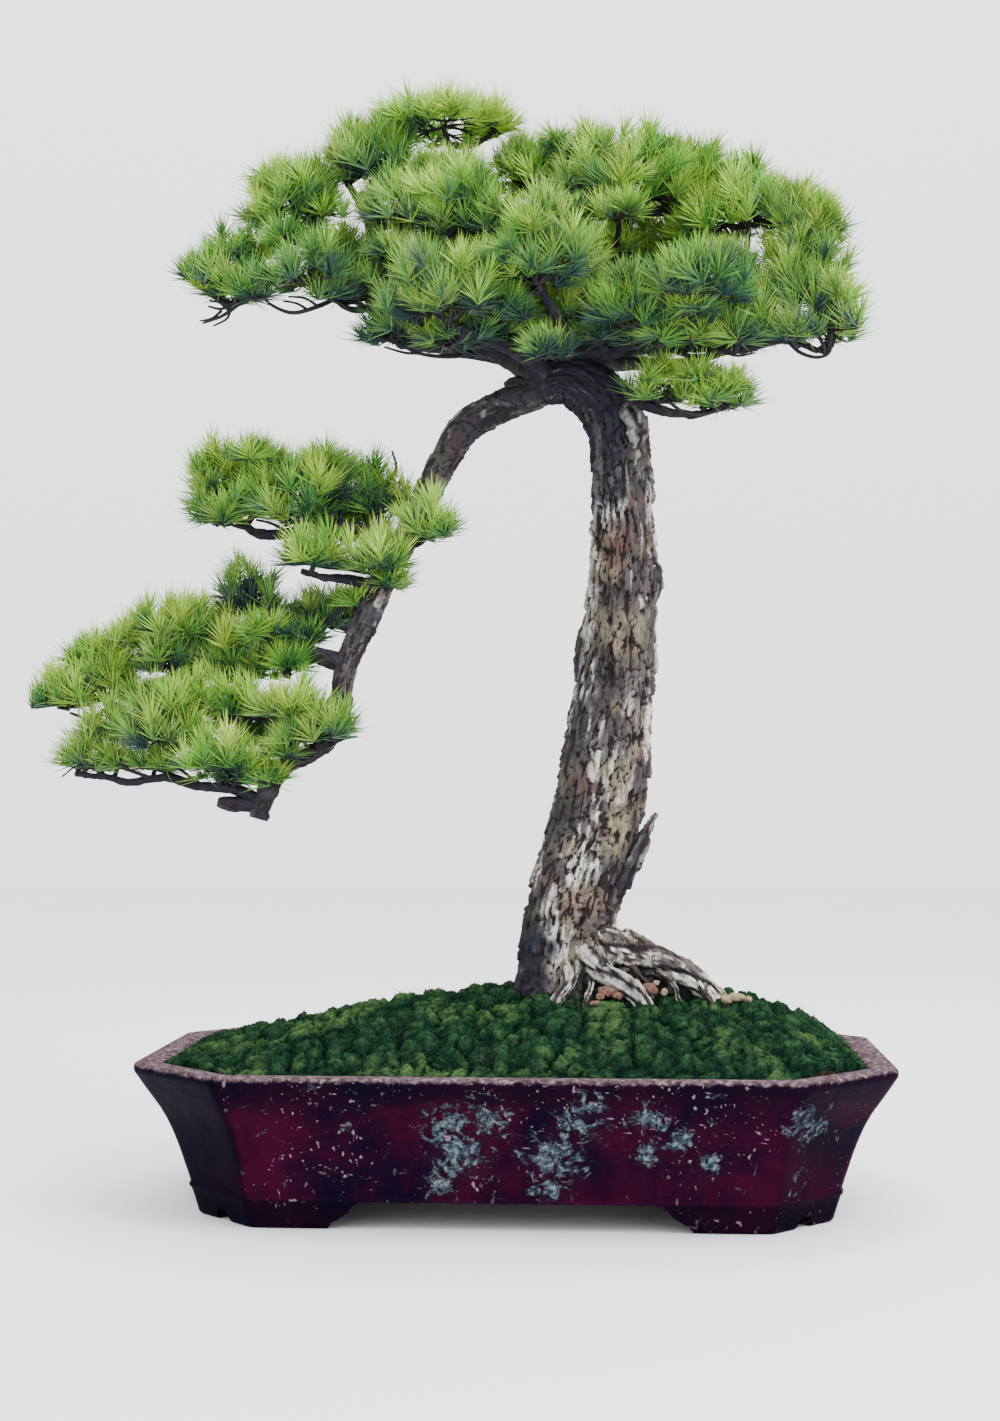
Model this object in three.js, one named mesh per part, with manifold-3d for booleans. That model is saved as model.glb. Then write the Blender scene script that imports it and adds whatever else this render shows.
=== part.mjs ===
// A pine bonsai in its pot: an upright flaky trunk that arches over at the top, a crown of needle
// pads on the arch, and one long limb that cascades to the left. It grows in a long eight-sided
// glazed pot filled with a mound of soil under moss.
// Millimetres, +Z up, X along the pot, -Y towards the viewer. The places below are measured from
// the middle of the pot at the height of the ground, and the whole is centred at the end.
import * as THREE from "three";
import { mergeVertices } from "three/addons/utils/BufferGeometryUtils.js";
import Module from "manifold-3d";

const wasm = await Module();
wasm.setup();

// Driving dimensions: pot
const POT = {
  baseLength: 820,
  baseWidth: 424,
  baseChamfer: 84,
  rimChamfer: 127,
  edgeRound: 9,
  underside: 36,
  floorTop: 54,
  footThickness: 24,
  rimTop: 198,
  drainDiameter: 30,
  drainX: 205,
};
// Outside and inside of the wall: height, and how far the outline stands out from the base's.
const POT_OUTSIDE = [
  [0, 0],
  [33, 9],
  [37, 12],
  [41, 10.5],
  [77, 21],
  [108, 32],
  [139, 47],
  [163, 63],
  [184, 76],
  [188, 79],
  [195, 79],
  [198, 76],
];
const POT_INSIDE = [
  [54, -5],
  [85, 7],
  [150, 35],
  [180, 42],
];
// Half outlines of the arched openings between the feet: across, height.
const LONG_SIDE_OPENING = [
  [228, -1],
  [226, 6],
  [208, 17],
  [196, 28],
  [184, 36],
];
const SHORT_SIDE_OPENING = [
  [92, -1],
  [90, 6],
  [78, 17],
  [70, 28],
  [60, 36],
];
const CHAMFER_NOTCH = { radius: 15, depth: 60 };
const SCREEN = { side: 64, thick: 1.5, hole: 11, pitch: 16 };

// Driving dimensions: soil and moss
const MOUND = { edge: 181, crest: 84, endX: 452, endY: 254, left: 1.5, right: 5.1, across: 2.2 };
const SOIL_GRID = 92;
const MOSS = { thick: 15, cushion: 42, swell: 11, grid: 36 };
const FIT = 0.4;
const ROOT_FIT = 0.7;
const TWIG_FIT = 0.6;
// Under the moss the holes for the trunk and roots are plain and roomy.
const SOIL_SOCKET = { sides: 6, spacing: 70, trunkGrow: 18, rootGrow: 8 };

// Driving dimensions: wood, as [x, y, z, radius] along each piece
const TRUNK = [
  [55, 0, 205, 66],
  [57, 0, 240, 64],
  [60, 0, 285, 61],
  [65, 0, 340, 57],
  [72, 0, 385, 60],
  [90, 0, 450, 61],
  [107, 0, 515, 60],
  [117, 0, 580, 60],
  [127, 0, 655, 54],
  [136, 0, 730, 49],
  [143, 0, 818, 45.5],
  [144, 0, 900, 41],
  [142, 0, 974, 40],
  [139, 0, 1022, 40],
  [130, 0, 1060, 41],
  [104, 0, 1092, 39],
  [66, 0, 1108, 33],
  [38, 0, 1103, 27],
  [17, 0, 1091, 22],
  [-24, -5, 1073, 20],
  [-68, -10, 1048, 20.5],
  [-96, -15, 1004, 17.5],
  [-120, -22, 955, 17],
  [-140, -27, 912, 16.5],
  [-177, -38, 839, 16.5],
  [-205, -48, 772, 17],
  [-229, -57, 712, 15.5],
  [-239, -66, 641, 13.5],
  [-262, -71, 604, 11.5],
  [-310, -77, 577, 12],
  [-330, -81, 545, 13],
  [-337, -83, 512, 10.5],
];
// The main line turns from trunk into cascading limb at this point of the list.
const TRUNK_BEND = 17;
const BARK = { sides: 13, spacing: 33, plateHeight: 62, relief: 0.085 };
const LIMBS = {
  leader: [
    [78, 2, 1092, 27],
    [62, 4, 1135, 25],
    [72, 8, 1180, 21],
    [100, 12, 1240, 16],
    [132, 15, 1295, 12],
    [161, 10, 1345, 6],
  ],
  right_high: [
    [86, 8, 1210, 14],
    [140, 0, 1224, 12],
    [205, -10, 1233, 10],
    [275, -10, 1238, 8],
    [332, -16, 1222, 6],
    [370, -26, 1206, 5],
    [388, -30, 1217, 4],
  ],
  right_low: [
    [66, -2, 1150, 17],
    [116, -20, 1138, 14],
    [180, -40, 1137, 12],
    [247, -50, 1136, 10],
    [301, -48, 1141, 8.5],
    [362, -45, 1153, 6.5],
    [404, -55, 1134, 4],
  ],
  left_low: [
    [45, 0, 1108, 25],
    [-4, -5, 1132, 21],
    [-40, -10, 1149, 18],
    [-90, -10, 1155, 15],
    [-145, -10, 1165, 13],
    [-186, -9, 1198, 12],
    [-208, -5, 1250, 11],
    [-204, 3, 1325, 8],
    [-237, 5, 1392, 4],
  ],
  left_out: [
    [-209, -3, 1285, 9],
    [-240, -10, 1308, 8],
    [-290, -17, 1318, 7],
    [-340, -24, 1290, 6],
    [-374, -28, 1240, 5],
    [-398, -30, 1206, 4],
  ],
  apex: [
    [-48, -8, 1150, 14],
    [-72, 10, 1190, 12],
    [-67, 22, 1260, 10.5],
    [-66, 25, 1345, 8.5],
    [-84, 22, 1410, 6.5],
    [-102, 20, 1462, 4],
  ],
  shoulder: [
    [138, -10, 1080, 13],
    [170, -28, 1070, 8],
    [200, -40, 1057, 7],
    [240, -46, 1052, 5.5],
    [267, -50, 1056, 4],
  ],
  front_left: [
    [40, -8, 1112, 17],
    [14, -50, 1132, 12],
    [-30, -92, 1146, 9],
    [-78, -122, 1160, 5],
  ],
  front_middle: [
    [66, -10, 1140, 14],
    [66, -60, 1158, 10],
    [52, -105, 1178, 8],
    [38, -136, 1200, 5],
  ],
  front_right: [
    [120, -22, 1138, 11],
    [160, -70, 1150, 8.5],
    [200, -105, 1166, 7],
    [234, -128, 1184, 4.5],
  ],
  back_left: [
    [56, 12, 1118, 18],
    [18, 66, 1146, 13],
    [-50, 118, 1172, 10],
    [-126, 138, 1190, 8],
    [-196, 128, 1222, 6],
    [-238, 112, 1252, 4],
  ],
  back_right: [
    [84, 12, 1120, 17],
    [120, 72, 1146, 12],
    [176, 124, 1158, 9],
    [236, 142, 1164, 7],
    [282, 136, 1172, 4],
  ],
  back_high: [
    [96, 16, 1232, 12],
    [100, 78, 1258, 9],
    [70, 128, 1282, 7],
    [10, 150, 1298, 6],
    [-60, 156, 1306, 5],
    [-98, 156, 1314, 4],
  ],
  cascade_upper: [
    [-155, -32, 880, 11],
    [-196, -32, 901, 9],
    [-240, -35, 905, 8.5],
    [-300, -40, 898, 8],
    [-352, -38, 897, 7],
    [-378, -34, 914, 5],
    [-400, -31, 922, 4],
  ],
  cascade_front: [
    [-183, -42, 822, 9],
    [-223, -60, 831, 7.5],
    [-260, -78, 833, 5.5],
    [-284, -90, 840, 4],
  ],
  cascade_low: [
    [-224, -56, 716, 14],
    [-265, -50, 729, 12.5],
    [-305, -36, 740, 11],
    [-350, -22, 757, 9],
    [-395, -16, 744, 8],
    [-449, -20, 709, 7.5],
    [-503, -25, 692, 6.5],
    [-560, -38, 676, 5.5],
    [-602, -52, 662, 4],
  ],
  cascade_inner: [
    [-243, -68, 622, 9],
    [-287, -80, 640, 8.5],
    [-339, -75, 648, 8],
    [-390, -70, 642, 7],
    [-430, -76, 615, 6],
    [-470, -84, 596, 4.5],
  ],
  cascade_tip: [
    [-334, -82, 530, 11],
    [-368, -87, 548, 8],
    [-420, -95, 554, 7],
    [-465, -95, 565, 6],
    [-515, -94, 559, 5.5],
    [-545, -88, 566, 5],
    [-578, -82, 568, 4],
  ],
  cut_stub: [
    [-335, -83, 520, 11],
    [-364, -85, 525, 10],
    [-389, -86, 527, 9],
  ],
  dead_stub: [
    [22, 0, 1100, 13],
    [-4, -14, 1106, 8],
    [-16, -20, 1100, 5],
  ],
};
// A slab of bark that peels from the right of the trunk
const BARK_SLAB = [
  [122, -8, 396, 16],
  [154, -10, 456, 13],
  [173, -10, 498, 8],
  [180, -10, 518, 3],
];
const ROOTS = {
  root_right: [
    [80, -2, 350, 30],
    [122, -18, 340, 21],
    [165, -30, 330, 17],
    [205, -36, 318, 15],
    [240, -42, 298, 13],
    [274, -46, 262, 11],
    [290, -46, 236, 9],
  ],
  root_front_right: [
    [84, -26, 340, 20],
    [114, -58, 306, 10],
    [148, -78, 288, 9],
    [172, -92, 262, 8],
    [182, -98, 236, 7],
  ],
  root_front_left: [
    [70, -34, 330, 18],
    [70, -66, 294, 8],
    [55, -85, 272, 7.5],
    [46, -96, 240, 6.5],
  ],
  root_left: [
    [44, -6, 335, 30],
    [30, -14, 300, 29],
    [18, -20, 268, 22],
    [10, -26, 232, 15],
  ],
  root_back: [
    [62, 30, 330, 28],
    [66, 66, 290, 19],
    [76, 100, 258, 14],
    [84, 126, 228, 10],
  ],
  root_back_left: [
    [40, 26, 320, 24],
    [2, 56, 280, 16],
    [-30, 80, 250, 12],
    [-52, 96, 222, 8],
  ],
};
const CASCADE_LIMB = { sides: 7, spacing: 33 };
const SIDE_LIMB = { sides: 6, spacing: 58 };
const ROOT = { sides: 6, spacing: 44 };
const BRANCHLET = { endRadius: 3.4, sides: 4, spacing: 64 };

// Driving dimensions: pads of needles, as [x, y, z of the underside, half length, height]
const CROWN_PADS = [
  [-105, 20, 1462, 98, 64],
  [-194, 0, 1388, 69, 88],
  [-312, -10, 1325, 72, 88],
  [-398, -30, 1214, 54, 122],
  [-276, -60, 1224, 70, 86],
  [-160, -56, 1305, 57, 92],
  [-82, -130, 1160, 92, 116],
  [-80, -66, 1284, 80, 120],
  [12, 32, 1375, 46, 96],
  [150, -14, 1340, 108, 118],
  [36, -142, 1202, 84, 122],
  [300, -2, 1300, 88, 124],
  [236, -132, 1184, 72, 84],
  [390, -30, 1226, 62, 132],
  [408, -66, 1142, 58, 108],
  [160, -104, 1150, 66, 84],
  [304, -52, 1146, 68, 76],
  [-30, -62, 1148, 70, 70],
  [34, -78, 1128, 34, 46],
  [-164, -70, 1146, 46, 66],
  [190, -40, 1064, 50, 76],
  [272, -52, 1054, 42, 60],
  [150, 150, 1168, 76, 96],
  [284, 136, 1178, 72, 96],
  [6, 166, 1186, 80, 96],
  [-132, 150, 1198, 76, 96],
  [66, 150, 1294, 80, 104],
  [-104, 158, 1320, 76, 104],
  [210, 112, 1300, 74, 110],
  [-244, 112, 1258, 66, 92],
];
const CASCADE_PADS = [
  [-402, -30, 916, 58, 118],
  [-296, -58, 903, 64, 116],
  [-192, -14, 916, 50, 98],
  [-266, -92, 842, 48, 66],
  [-186, -78, 836, 44, 70],
  [-114, -72, 876, 46, 76],
  [-376, 22, 784, 48, 92],
  [-270, 14, 764, 56, 76],
  [-560, -40, 676, 48, 92],
  [-474, -30, 700, 68, 122],
  [-384, -22, 690, 50, 96],
  [-618, -58, 656, 46, 66],
  [-470, -86, 600, 66, 92],
  [-586, -80, 574, 44, 64],
  [-388, -112, 566, 58, 72],
  [-296, -90, 640, 50, 66],
  [-228, -112, 612, 44, 64],
  [-246, 54, 892, 62, 90],
  [-448, 52, 734, 60, 88],
  [-352, -6, 604, 52, 76],
];
const PAD_DEPTH = 0.86;
const CORE = {
  inset: 46,
  across: [9, 34],
  high: [7, 17],
  uneven: 0.22,
  rise: 9,
  lift: 4,
  mostLifts: 6,
};
const SHOOT = { area: 1500, most: 5, least: 3, radius: 3, band: 6.5, tip: 11 };
// Long pads also have shoots at the ends of side twigs, one for each step of length.
const TWIG = { radius: 2.3, least: 56, step: 16, inset: 40, lift: 0.42 };
const NEEDLE = { length: 46, vary: 5, baseRadius: 1.8, clear: 0.7, leastRise: 0.25 };

const COLOURS = {
  pot: [0x3a1f24, 0.42],
  screen: [0x20221f, 0.7],
  soil: [0x5a4433, 0.95],
  moss: [0x55682a, 0.95],
  wood: [0x7a6552, 0.9],
  crown: [0x3f5a2c, 0.6],
  cascade: [0x456230, 0.6],
};

// Repeatable random numbers from 0 to 1
function randomSource(seed) {
  let state = seed;
  return () => {
    state = (state * 1664525 + 1013904223) % 4294967296;
    return state / 4294967296;
  };
}

const random = randomSource(41);

// A repeatable number from 0 to 1 for one cell of a grid
function cellNoise(i, j, salt) {
  const wave = Math.sin(i * 127.1 + j * 311.7 + salt * 74.7) * 43758.5453;
  return wave - Math.floor(wave);
}

// Solids from three.js geometry, and back
function bareGeometry(geometry) {
  const bare = new THREE.BufferGeometry();
  bare.setAttribute("position", geometry.getAttribute("position"));
  if (geometry.index) bare.setIndex(geometry.index);
  return bare;
}

function solidFrom(geometry) {
  const merged = mergeVertices(bareGeometry(geometry), 1e-4);
  const triVerts = new Uint32Array(merged.index.array);
  const vertProperties = new Float32Array(merged.attributes.position.array);
  const solid = new wasm.Manifold(new wasm.Mesh({ numProp: 3, vertProperties, triVerts }));
  if (solid.volume() > 0) return solid;
  for (let i = 0; i < triVerts.length; i += 3) {
    [triVerts[i + 1], triVerts[i + 2]] = [triVerts[i + 2], triVerts[i + 1]];
  }
  return new wasm.Manifold(new wasm.Mesh({ numProp: 3, vertProperties, triVerts }));
}

function solidFromLists(points, faces) {
  const geometry = new THREE.BufferGeometry().setFromPoints(points);
  geometry.setIndex(faces.flat());
  return solidFrom(geometry);
}

function geometryFrom(solid) {
  const mesh = solid.getMesh();
  const geometry = new THREE.BufferGeometry();
  geometry.setAttribute("position", new THREE.BufferAttribute(mesh.vertProperties, 3));
  geometry.setIndex(new THREE.BufferAttribute(mesh.triVerts, 1));
  geometry.computeVertexNormals();
  return geometry;
}

function largestBody(solid) {
  return solid.decompose().reduce((best, body) => (body.volume() > best.volume() ? body : best));
}

function joined(solids) {
  return solids.reduce((sum, solid) => sum.add(solid));
}

// The faces of a closed tube whose corners are listed ring by ring
function tubeFaces(rings, sides) {
  const faces = [];
  for (let ring = 0; ring + 1 < rings; ring += 1) {
    for (let i = 0; i < sides; i += 1) {
      const next = (i + 1) % sides;
      const low = ring * sides;
      const high = low + sides;
      faces.push([low + i, low + next, high + next], [low + i, high + next, high + i]);
    }
  }
  const end = (rings - 1) * sides;
  for (let i = 1; i + 1 < sides; i += 1) {
    faces.push([0, i + 1, i], [end, end + i, end + i + 1]);
  }
  return faces;
}

// Pot: an eight-sided outline with softened corners, lofted through heights
function octagon(outward) {
  const halfLength = POT.baseLength / 2 + outward;
  const halfWidth = POT.baseWidth / 2 + outward;
  const spread = POT_OUTSIDE.at(-2)[1];
  const chamfer = POT.baseChamfer + ((POT.rimChamfer - POT.baseChamfer) * outward) / spread;
  const corners = [
    [halfLength, -halfWidth + chamfer],
    [halfLength, halfWidth - chamfer],
    [halfLength - chamfer, halfWidth],
    [-halfLength + chamfer, halfWidth],
    [-halfLength, halfWidth - chamfer],
    [-halfLength, -halfWidth + chamfer],
    [-halfLength + chamfer, -halfWidth],
    [halfLength - chamfer, -halfWidth],
  ].map(([x, y]) => new THREE.Vector2(x, y));
  return corners.flatMap((corner, i) => {
    const before = corners[(i + 7) % 8];
    const after = corners[(i + 1) % 8];
    return [before, after].map((end) =>
      corner.clone().add(end.clone().sub(corner).setLength(POT.edgeRound)),
    );
  });
}

function loft(levels) {
  const points = levels.flatMap(([z, outward]) =>
    octagon(outward).map((p) => new THREE.Vector3(p.x, p.y, z)),
  );
  return solidFromLists(points, tubeFaces(levels.length, octagon(0).length));
}

function archCutter(halfOutline, reach, turn) {
  const outline = [...halfOutline, ...halfOutline.map(([across, z]) => [-across, z]).reverse()];
  const shape = new THREE.Shape(outline.map(([across, z]) => new THREE.Vector2(across, z)));
  const geometry = new THREE.ExtrudeGeometry(shape, { depth: 2 * reach, bevelEnabled: false });
  geometry.translate(0, 0, -reach).rotateX(Math.PI / 2).rotateZ(turn);
  return solidFrom(geometry);
}

function chamferNotches() {
  const base = octagon(0);
  return [1, 3, 5, 7].map((side) => {
    const middle = base[2 * side + 1].clone().add(base[(2 * side + 2) % 16]).multiplyScalar(0.5);
    const outline = base[(2 * side + 2) % 16].clone().sub(base[2 * side + 1]);
    const shape = new THREE.Shape();
    shape.moveTo(-CHAMFER_NOTCH.radius, -CHAMFER_NOTCH.radius);
    shape.lineTo(CHAMFER_NOTCH.radius, -CHAMFER_NOTCH.radius);
    shape.lineTo(CHAMFER_NOTCH.radius, 0);
    shape.absarc(0, 0, CHAMFER_NOTCH.radius, 0, Math.PI, false);
    const geometry = new THREE.ExtrudeGeometry(shape, {
      depth: 2 * CHAMFER_NOTCH.depth,
      bevelEnabled: false,
      curveSegments: 4,
    });
    geometry.translate(0, 0, -CHAMFER_NOTCH.depth).rotateX(Math.PI / 2);
    geometry.rotateZ(Math.atan2(outline.y, outline.x));
    geometry.translate(middle.x, middle.y, 0);
    return solidFrom(geometry);
  });
}

function drainHoles() {
  return [-POT.drainX, POT.drainX].map((x) => {
    const height = 3 * (POT.floorTop - POT.underside);
    const radius = POT.drainDiameter / 2;
    const geometry = new THREE.CylinderGeometry(radius, radius, height, 12);
    geometry.rotateX(Math.PI / 2).translate(x, 0, POT.floorTop);
    return solidFrom(geometry);
  });
}

function potSolid() {
  const body = loft(POT_OUTSIDE);
  const [topHeight, topOutward] = POT_INSIDE.at(-1);
  const inside = loft([...POT_INSIDE, [topHeight + 40, topOutward]]);
  const under = loft([
    [-1, -POT.footThickness],
    [POT.underside, -POT.footThickness],
  ]);
  const cutters = [
    under,
    archCutter(LONG_SIDE_OPENING, POT.baseWidth, 0),
    archCutter(SHORT_SIDE_OPENING, POT.baseLength, Math.PI / 2),
    ...chamferNotches(),
    ...drainHoles(),
  ];
  return body.subtract(inside).subtract(joined(cutters));
}

function screenSolid(x) {
  const middle = POT.floorTop + FIT + SCREEN.thick / 2;
  const plate = new THREE.BoxGeometry(SCREEN.side, SCREEN.side, SCREEN.thick);
  plate.translate(x, 0, middle);
  const holes = [];
  for (const column of [-0.5, 0.5]) {
    for (const row of [-0.5, 0.5]) {
      const hole = new THREE.BoxGeometry(SCREEN.hole, SCREEN.hole, 3 * SCREEN.thick);
      hole.translate(x + column * SCREEN.pitch, row * SCREEN.pitch, middle);
      holes.push(solidFrom(hole));
    }
  }
  return solidFrom(plate).subtract(joined(holes));
}

// Soil and moss: fields of height cut to the inside of the pot
function moundHeight(x, y) {
  const along = Math.min(1, Math.abs(x) / MOUND.endX);
  const across = Math.min(1, Math.abs(y) / MOUND.endY);
  const power = x < 0 ? MOUND.left : MOUND.right;
  return MOUND.edge + MOUND.crest * (1 - along ** power) * (1 - across ** MOUND.across);
}

function mossHeight(x, y) {
  const column = Math.round(x / MOSS.cushion);
  const row = Math.round(y / MOSS.cushion);
  let swell = 0;
  for (let i = column - 1; i <= column + 1; i += 1) {
    for (let j = row - 1; j <= row + 1; j += 1) {
      const middleX = (i + cellNoise(i, j, 1) - 0.5) * MOSS.cushion;
      const middleY = (j + cellNoise(i, j, 2) - 0.5) * MOSS.cushion;
      const size = MOSS.cushion * (0.5 + 0.35 * cellNoise(i, j, 3));
      const off = Math.hypot(x - middleX, y - middleY) / size;
      swell = Math.max(swell, (0.5 + 0.5 * cellNoise(i, j, 4)) * (1 - Math.min(1, off) ** 2));
    }
  }
  return moundHeight(x, y) + MOSS.thick + MOSS.swell * (swell - 0.5);
}

function heightField(height, step, bottom) {
  const halfX = Math.ceil((MOUND.endX + 20) / step);
  const halfY = Math.ceil((MOUND.endY + 20) / step);
  const columns = 2 * halfX + 1;
  const points = [];
  for (let row = -halfY; row <= halfY; row += 1) {
    for (let column = -halfX; column <= halfX; column += 1) {
      const x = column * step;
      const y = row * step;
      points.push(new THREE.Vector3(x, y, height(x, y)));
    }
  }
  const faces = [];
  const rim = [];
  const rows = 2 * halfY + 1;
  for (let row = 0; row + 1 < rows; row += 1) {
    for (let column = 0; column + 1 < columns; column += 1) {
      const a = row * columns + column;
      const b = a + 1;
      const c = a + columns;
      const d = c + 1;
      if ((row + column) % 2) faces.push([a, b, d], [a, d, c]);
      else faces.push([a, b, c], [b, d, c]);
    }
  }
  for (let column = 0; column + 1 < columns; column += 1) rim.push(column);
  for (let row = 0; row + 1 < rows; row += 1) rim.push(row * columns + columns - 1);
  for (let column = columns - 1; column > 0; column -= 1) {
    rim.push((rows - 1) * columns + column);
  }
  for (let row = rows - 1; row > 0; row -= 1) rim.push(row * columns);
  const first = points.length;
  for (const index of rim) points.push(points[index].clone().setZ(bottom));
  const centre = points.length;
  points.push(new THREE.Vector3(0, 0, bottom));
  for (let i = 0; i < rim.length; i += 1) {
    const next = (i + 1) % rim.length;
    faces.push([rim[i], first + i, first + next], [rim[i], first + next, rim[next]]);
    faces.push([centre, first + next, first + i]);
  }
  return solidFromLists(points, faces);
}

function fillSolid() {
  const [topHeight, topOutward] = POT_INSIDE.at(-1);
  const levels = POT_INSIDE.map(([z, outward]) => [z, outward - FIT]);
  levels[0][0] += FIT;
  return loft([...levels, [topHeight + 160, topOutward - FIT]]);
}

// Wood: tubes along smooth curves, whose radius follows the points
function sweep(points, { sides, spacing, grow = 0, relief = null }) {
  const curve = new THREE.CatmullRomCurve3(
    points.map(([x, y, z]) => new THREE.Vector3(x, y, z)),
    false,
    "centripetal",
  );
  const rings = Math.max(2, Math.round(curve.getLength() / spacing));
  const last = points.length - 1;
  const vertices = [];
  let normal = new THREE.Vector3(1, 0, 0.01);
  let run = 0;
  let before = null;
  for (let ring = 0; ring <= rings; ring += 1) {
    const share = ring / rings;
    const centre = curve.getPoint(share);
    const tangent = curve.getTangent(share);
    if (before) run += centre.distanceTo(before);
    before = centre.clone();
    if (grow && ring === 0) centre.addScaledVector(tangent, -grow);
    if (grow && ring === rings) centre.addScaledVector(tangent, grow);
    if (Math.abs(tangent.dot(normal)) > 0.98) normal = new THREE.Vector3(0, 1, 0.01);
    normal = normal.clone().addScaledVector(tangent, -normal.dot(tangent)).normalize();
    const side = new THREE.Vector3().crossVectors(tangent, normal);
    const place = share * last;
    const lower = Math.min(last - 1, Math.floor(place));
    const mix = place - lower;
    const radius = points[lower][3] * (1 - mix) + points[lower + 1][3] * mix;
    for (let i = 0; i < sides; i += 1) {
      const angle = (2 * Math.PI * i) / sides;
      const raised = radius * (1 + (relief ? relief(angle, run, radius) : 0)) + grow;
      vertices.push(
        centre
          .clone()
          .addScaledVector(normal, raised * Math.cos(angle))
          .addScaledVector(side, raised * Math.sin(angle)),
      );
    }
  }
  return solidFromLists(vertices, tubeFaces(rings + 1, sides));
}

// Bark plates: tall cells round the trunk, each standing out by its own amount
function barkRelief(angle, run) {
  const around = 7;
  const column = Math.floor((angle / (2 * Math.PI)) * around);
  const row = Math.floor(run / BARK.plateHeight + cellNoise(column, 0, 5));
  return BARK.relief * (cellNoise(column, row, 6) - 0.5) * 2;
}

function trunkSolid(grow = 0) {
  const lower = TRUNK.slice(0, TRUNK_BEND + 1);
  return sweep(lower, { ...BARK, grow, relief: barkRelief });
}

function rootSolids(grow = 0) {
  return Object.values(ROOTS).map((root) => sweep(root, { ...ROOT, grow }));
}

// Straight pieces with a radius at each end, for keeping things clear of each other
function piecesOf(points) {
  return points.slice(1).map((point, i) => ({
    a: new THREE.Vector3(...points[i]),
    b: new THREE.Vector3(...point),
    ra: points[i][3],
    rb: point[3],
  }));
}

function distanceBetween(p, q) {
  const u = p.b.clone().sub(p.a);
  const v = q.b.clone().sub(q.a);
  const w = p.a.clone().sub(q.a);
  const a = u.dot(u);
  const b = u.dot(v);
  const c = v.dot(v);
  const d = u.dot(w);
  const e = v.dot(w);
  const denominator = a * c - b * b;
  let s = denominator > 1e-9 ? THREE.MathUtils.clamp((b * e - c * d) / denominator, 0, 1) : 0;
  const t = THREE.MathUtils.clamp((b * s + e) / c, 0, 1);
  s = THREE.MathUtils.clamp((b * t - d) / a, 0, 1);
  const gap = w.addScaledVector(u, s).addScaledVector(v, -t).length();
  return gap - (p.ra + (p.rb - p.ra) * s) - (q.ra + (q.rb - q.ra) * t);
}

function isClear(piece, others, clearance) {
  const reach = piece.a.distanceTo(piece.b) + Math.max(piece.ra, piece.rb);
  for (const other of others) {
    const near = reach + other.a.distanceTo(other.b) + Math.max(other.ra, other.rb) + clearance;
    if (piece.a.distanceTo(other.a) > near) continue;
    if (distanceBetween(piece, other) < clearance) return false;
  }
  return true;
}

// Each pad hangs on a branchlet that leaves the nearest limb
function nearestOnWood(target, branches) {
  let best = null;
  for (const branch of branches) {
    const curve = new THREE.CatmullRomCurve3(
      branch.map(([x, y, z]) => new THREE.Vector3(x, y, z)),
      false,
      "centripetal",
    );
    const steps = 6 * (branch.length - 1);
    for (let i = 1; i <= steps; i += 1) {
      const point = curve.getPoint(i / steps);
      const distance = point.distanceTo(target) + 0.6 * Math.max(0, point.z - target.z);
      if (!best || distance < best.distance) {
        best = { point, distance, tangent: curve.getTangent(i / steps), atEnd: i === steps };
      }
    }
  }
  return best;
}

function padPlan([x, y, z, halfLength, height], branches) {
  const heart = new THREE.Vector3(x, y, z + 6);
  const start = nearestOnWood(heart, branches);
  const span = start.point.distanceTo(heart);
  const plan = { heart, halfLength, height, branchlet: null };
  if (start.atEnd && span < 24) {
    plan.collar = start.point;
    plan.direction = start.tangent.clone();
  } else {
    const middle = start.point.clone().lerp(heart, 0.5);
    middle.z -= 0.12 * span * (0.5 + random());
    middle.x += 0.1 * span * (random() - 0.5);
    middle.y += 0.1 * span * (random() - 0.5);
    const thick = BRANCHLET.endRadius + Math.min(3.4, span / 26);
    plan.branchlet = [
      [...start.point.toArray(), thick],
      [...middle.toArray(), (thick + BRANCHLET.endRadius) / 2],
      [...heart.toArray(), BRANCHLET.endRadius],
    ];
    plan.collar = heart;
    plan.direction = heart.clone().sub(middle).normalize();
  }
  plan.hub = plan.collar.clone().addScaledVector(plan.direction, 11);
  return plan;
}

// The heart of a pad is a small uneven core over the branchlet's end
function coreOf(plan) {
  const { clamp } = THREE.MathUtils;
  const across = clamp(plan.halfLength - CORE.inset, ...CORE.across);
  const deep = clamp(plan.halfLength * PAD_DEPTH - CORE.inset, ...CORE.across);
  const high = clamp((plan.height - CORE.inset) / 2 - CORE.rise, ...CORE.high);
  const middle = plan.hub.clone();
  middle.z += high;
  return { middle, size: new THREE.Vector3(across, deep, high) };
}

function coreFaces({ middle, size }) {
  const geometry = mergeVertices(bareGeometry(new THREE.IcosahedronGeometry(1, 0)), 1e-4);
  const corners = geometry.getAttribute("position");
  const points = [];
  for (let i = 0; i < corners.count; i += 1) {
    const swell = 1 + CORE.uneven * (random() - 0.5);
    const spot = new THREE.Vector3().fromBufferAttribute(corners, i).multiplyScalar(swell);
    points.push(spot.multiply(size).add(middle));
  }
  const faces = [];
  for (let i = 0; i < geometry.index.count; i += 3) {
    faces.push([0, 1, 2].map((k) => points[geometry.index.getX(i + k)]));
  }
  return faces;
}

function corePieces({ middle, size }) {
  const half = new THREE.Vector3(Math.max(1, size.x - size.z), 0, 0);
  const radius = Math.min(size.z, size.y) + 2;
  const along = { a: middle.clone().sub(half), b: middle.clone().add(half) };
  const turned = new THREE.Vector3(0, Math.max(1, size.y - size.z), 0);
  const across = { a: middle.clone().sub(turned), b: middle.clone().add(turned) };
  return [along, across].map((piece) => ({ ...piece, ra: radius, rb: radius }));
}

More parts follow.
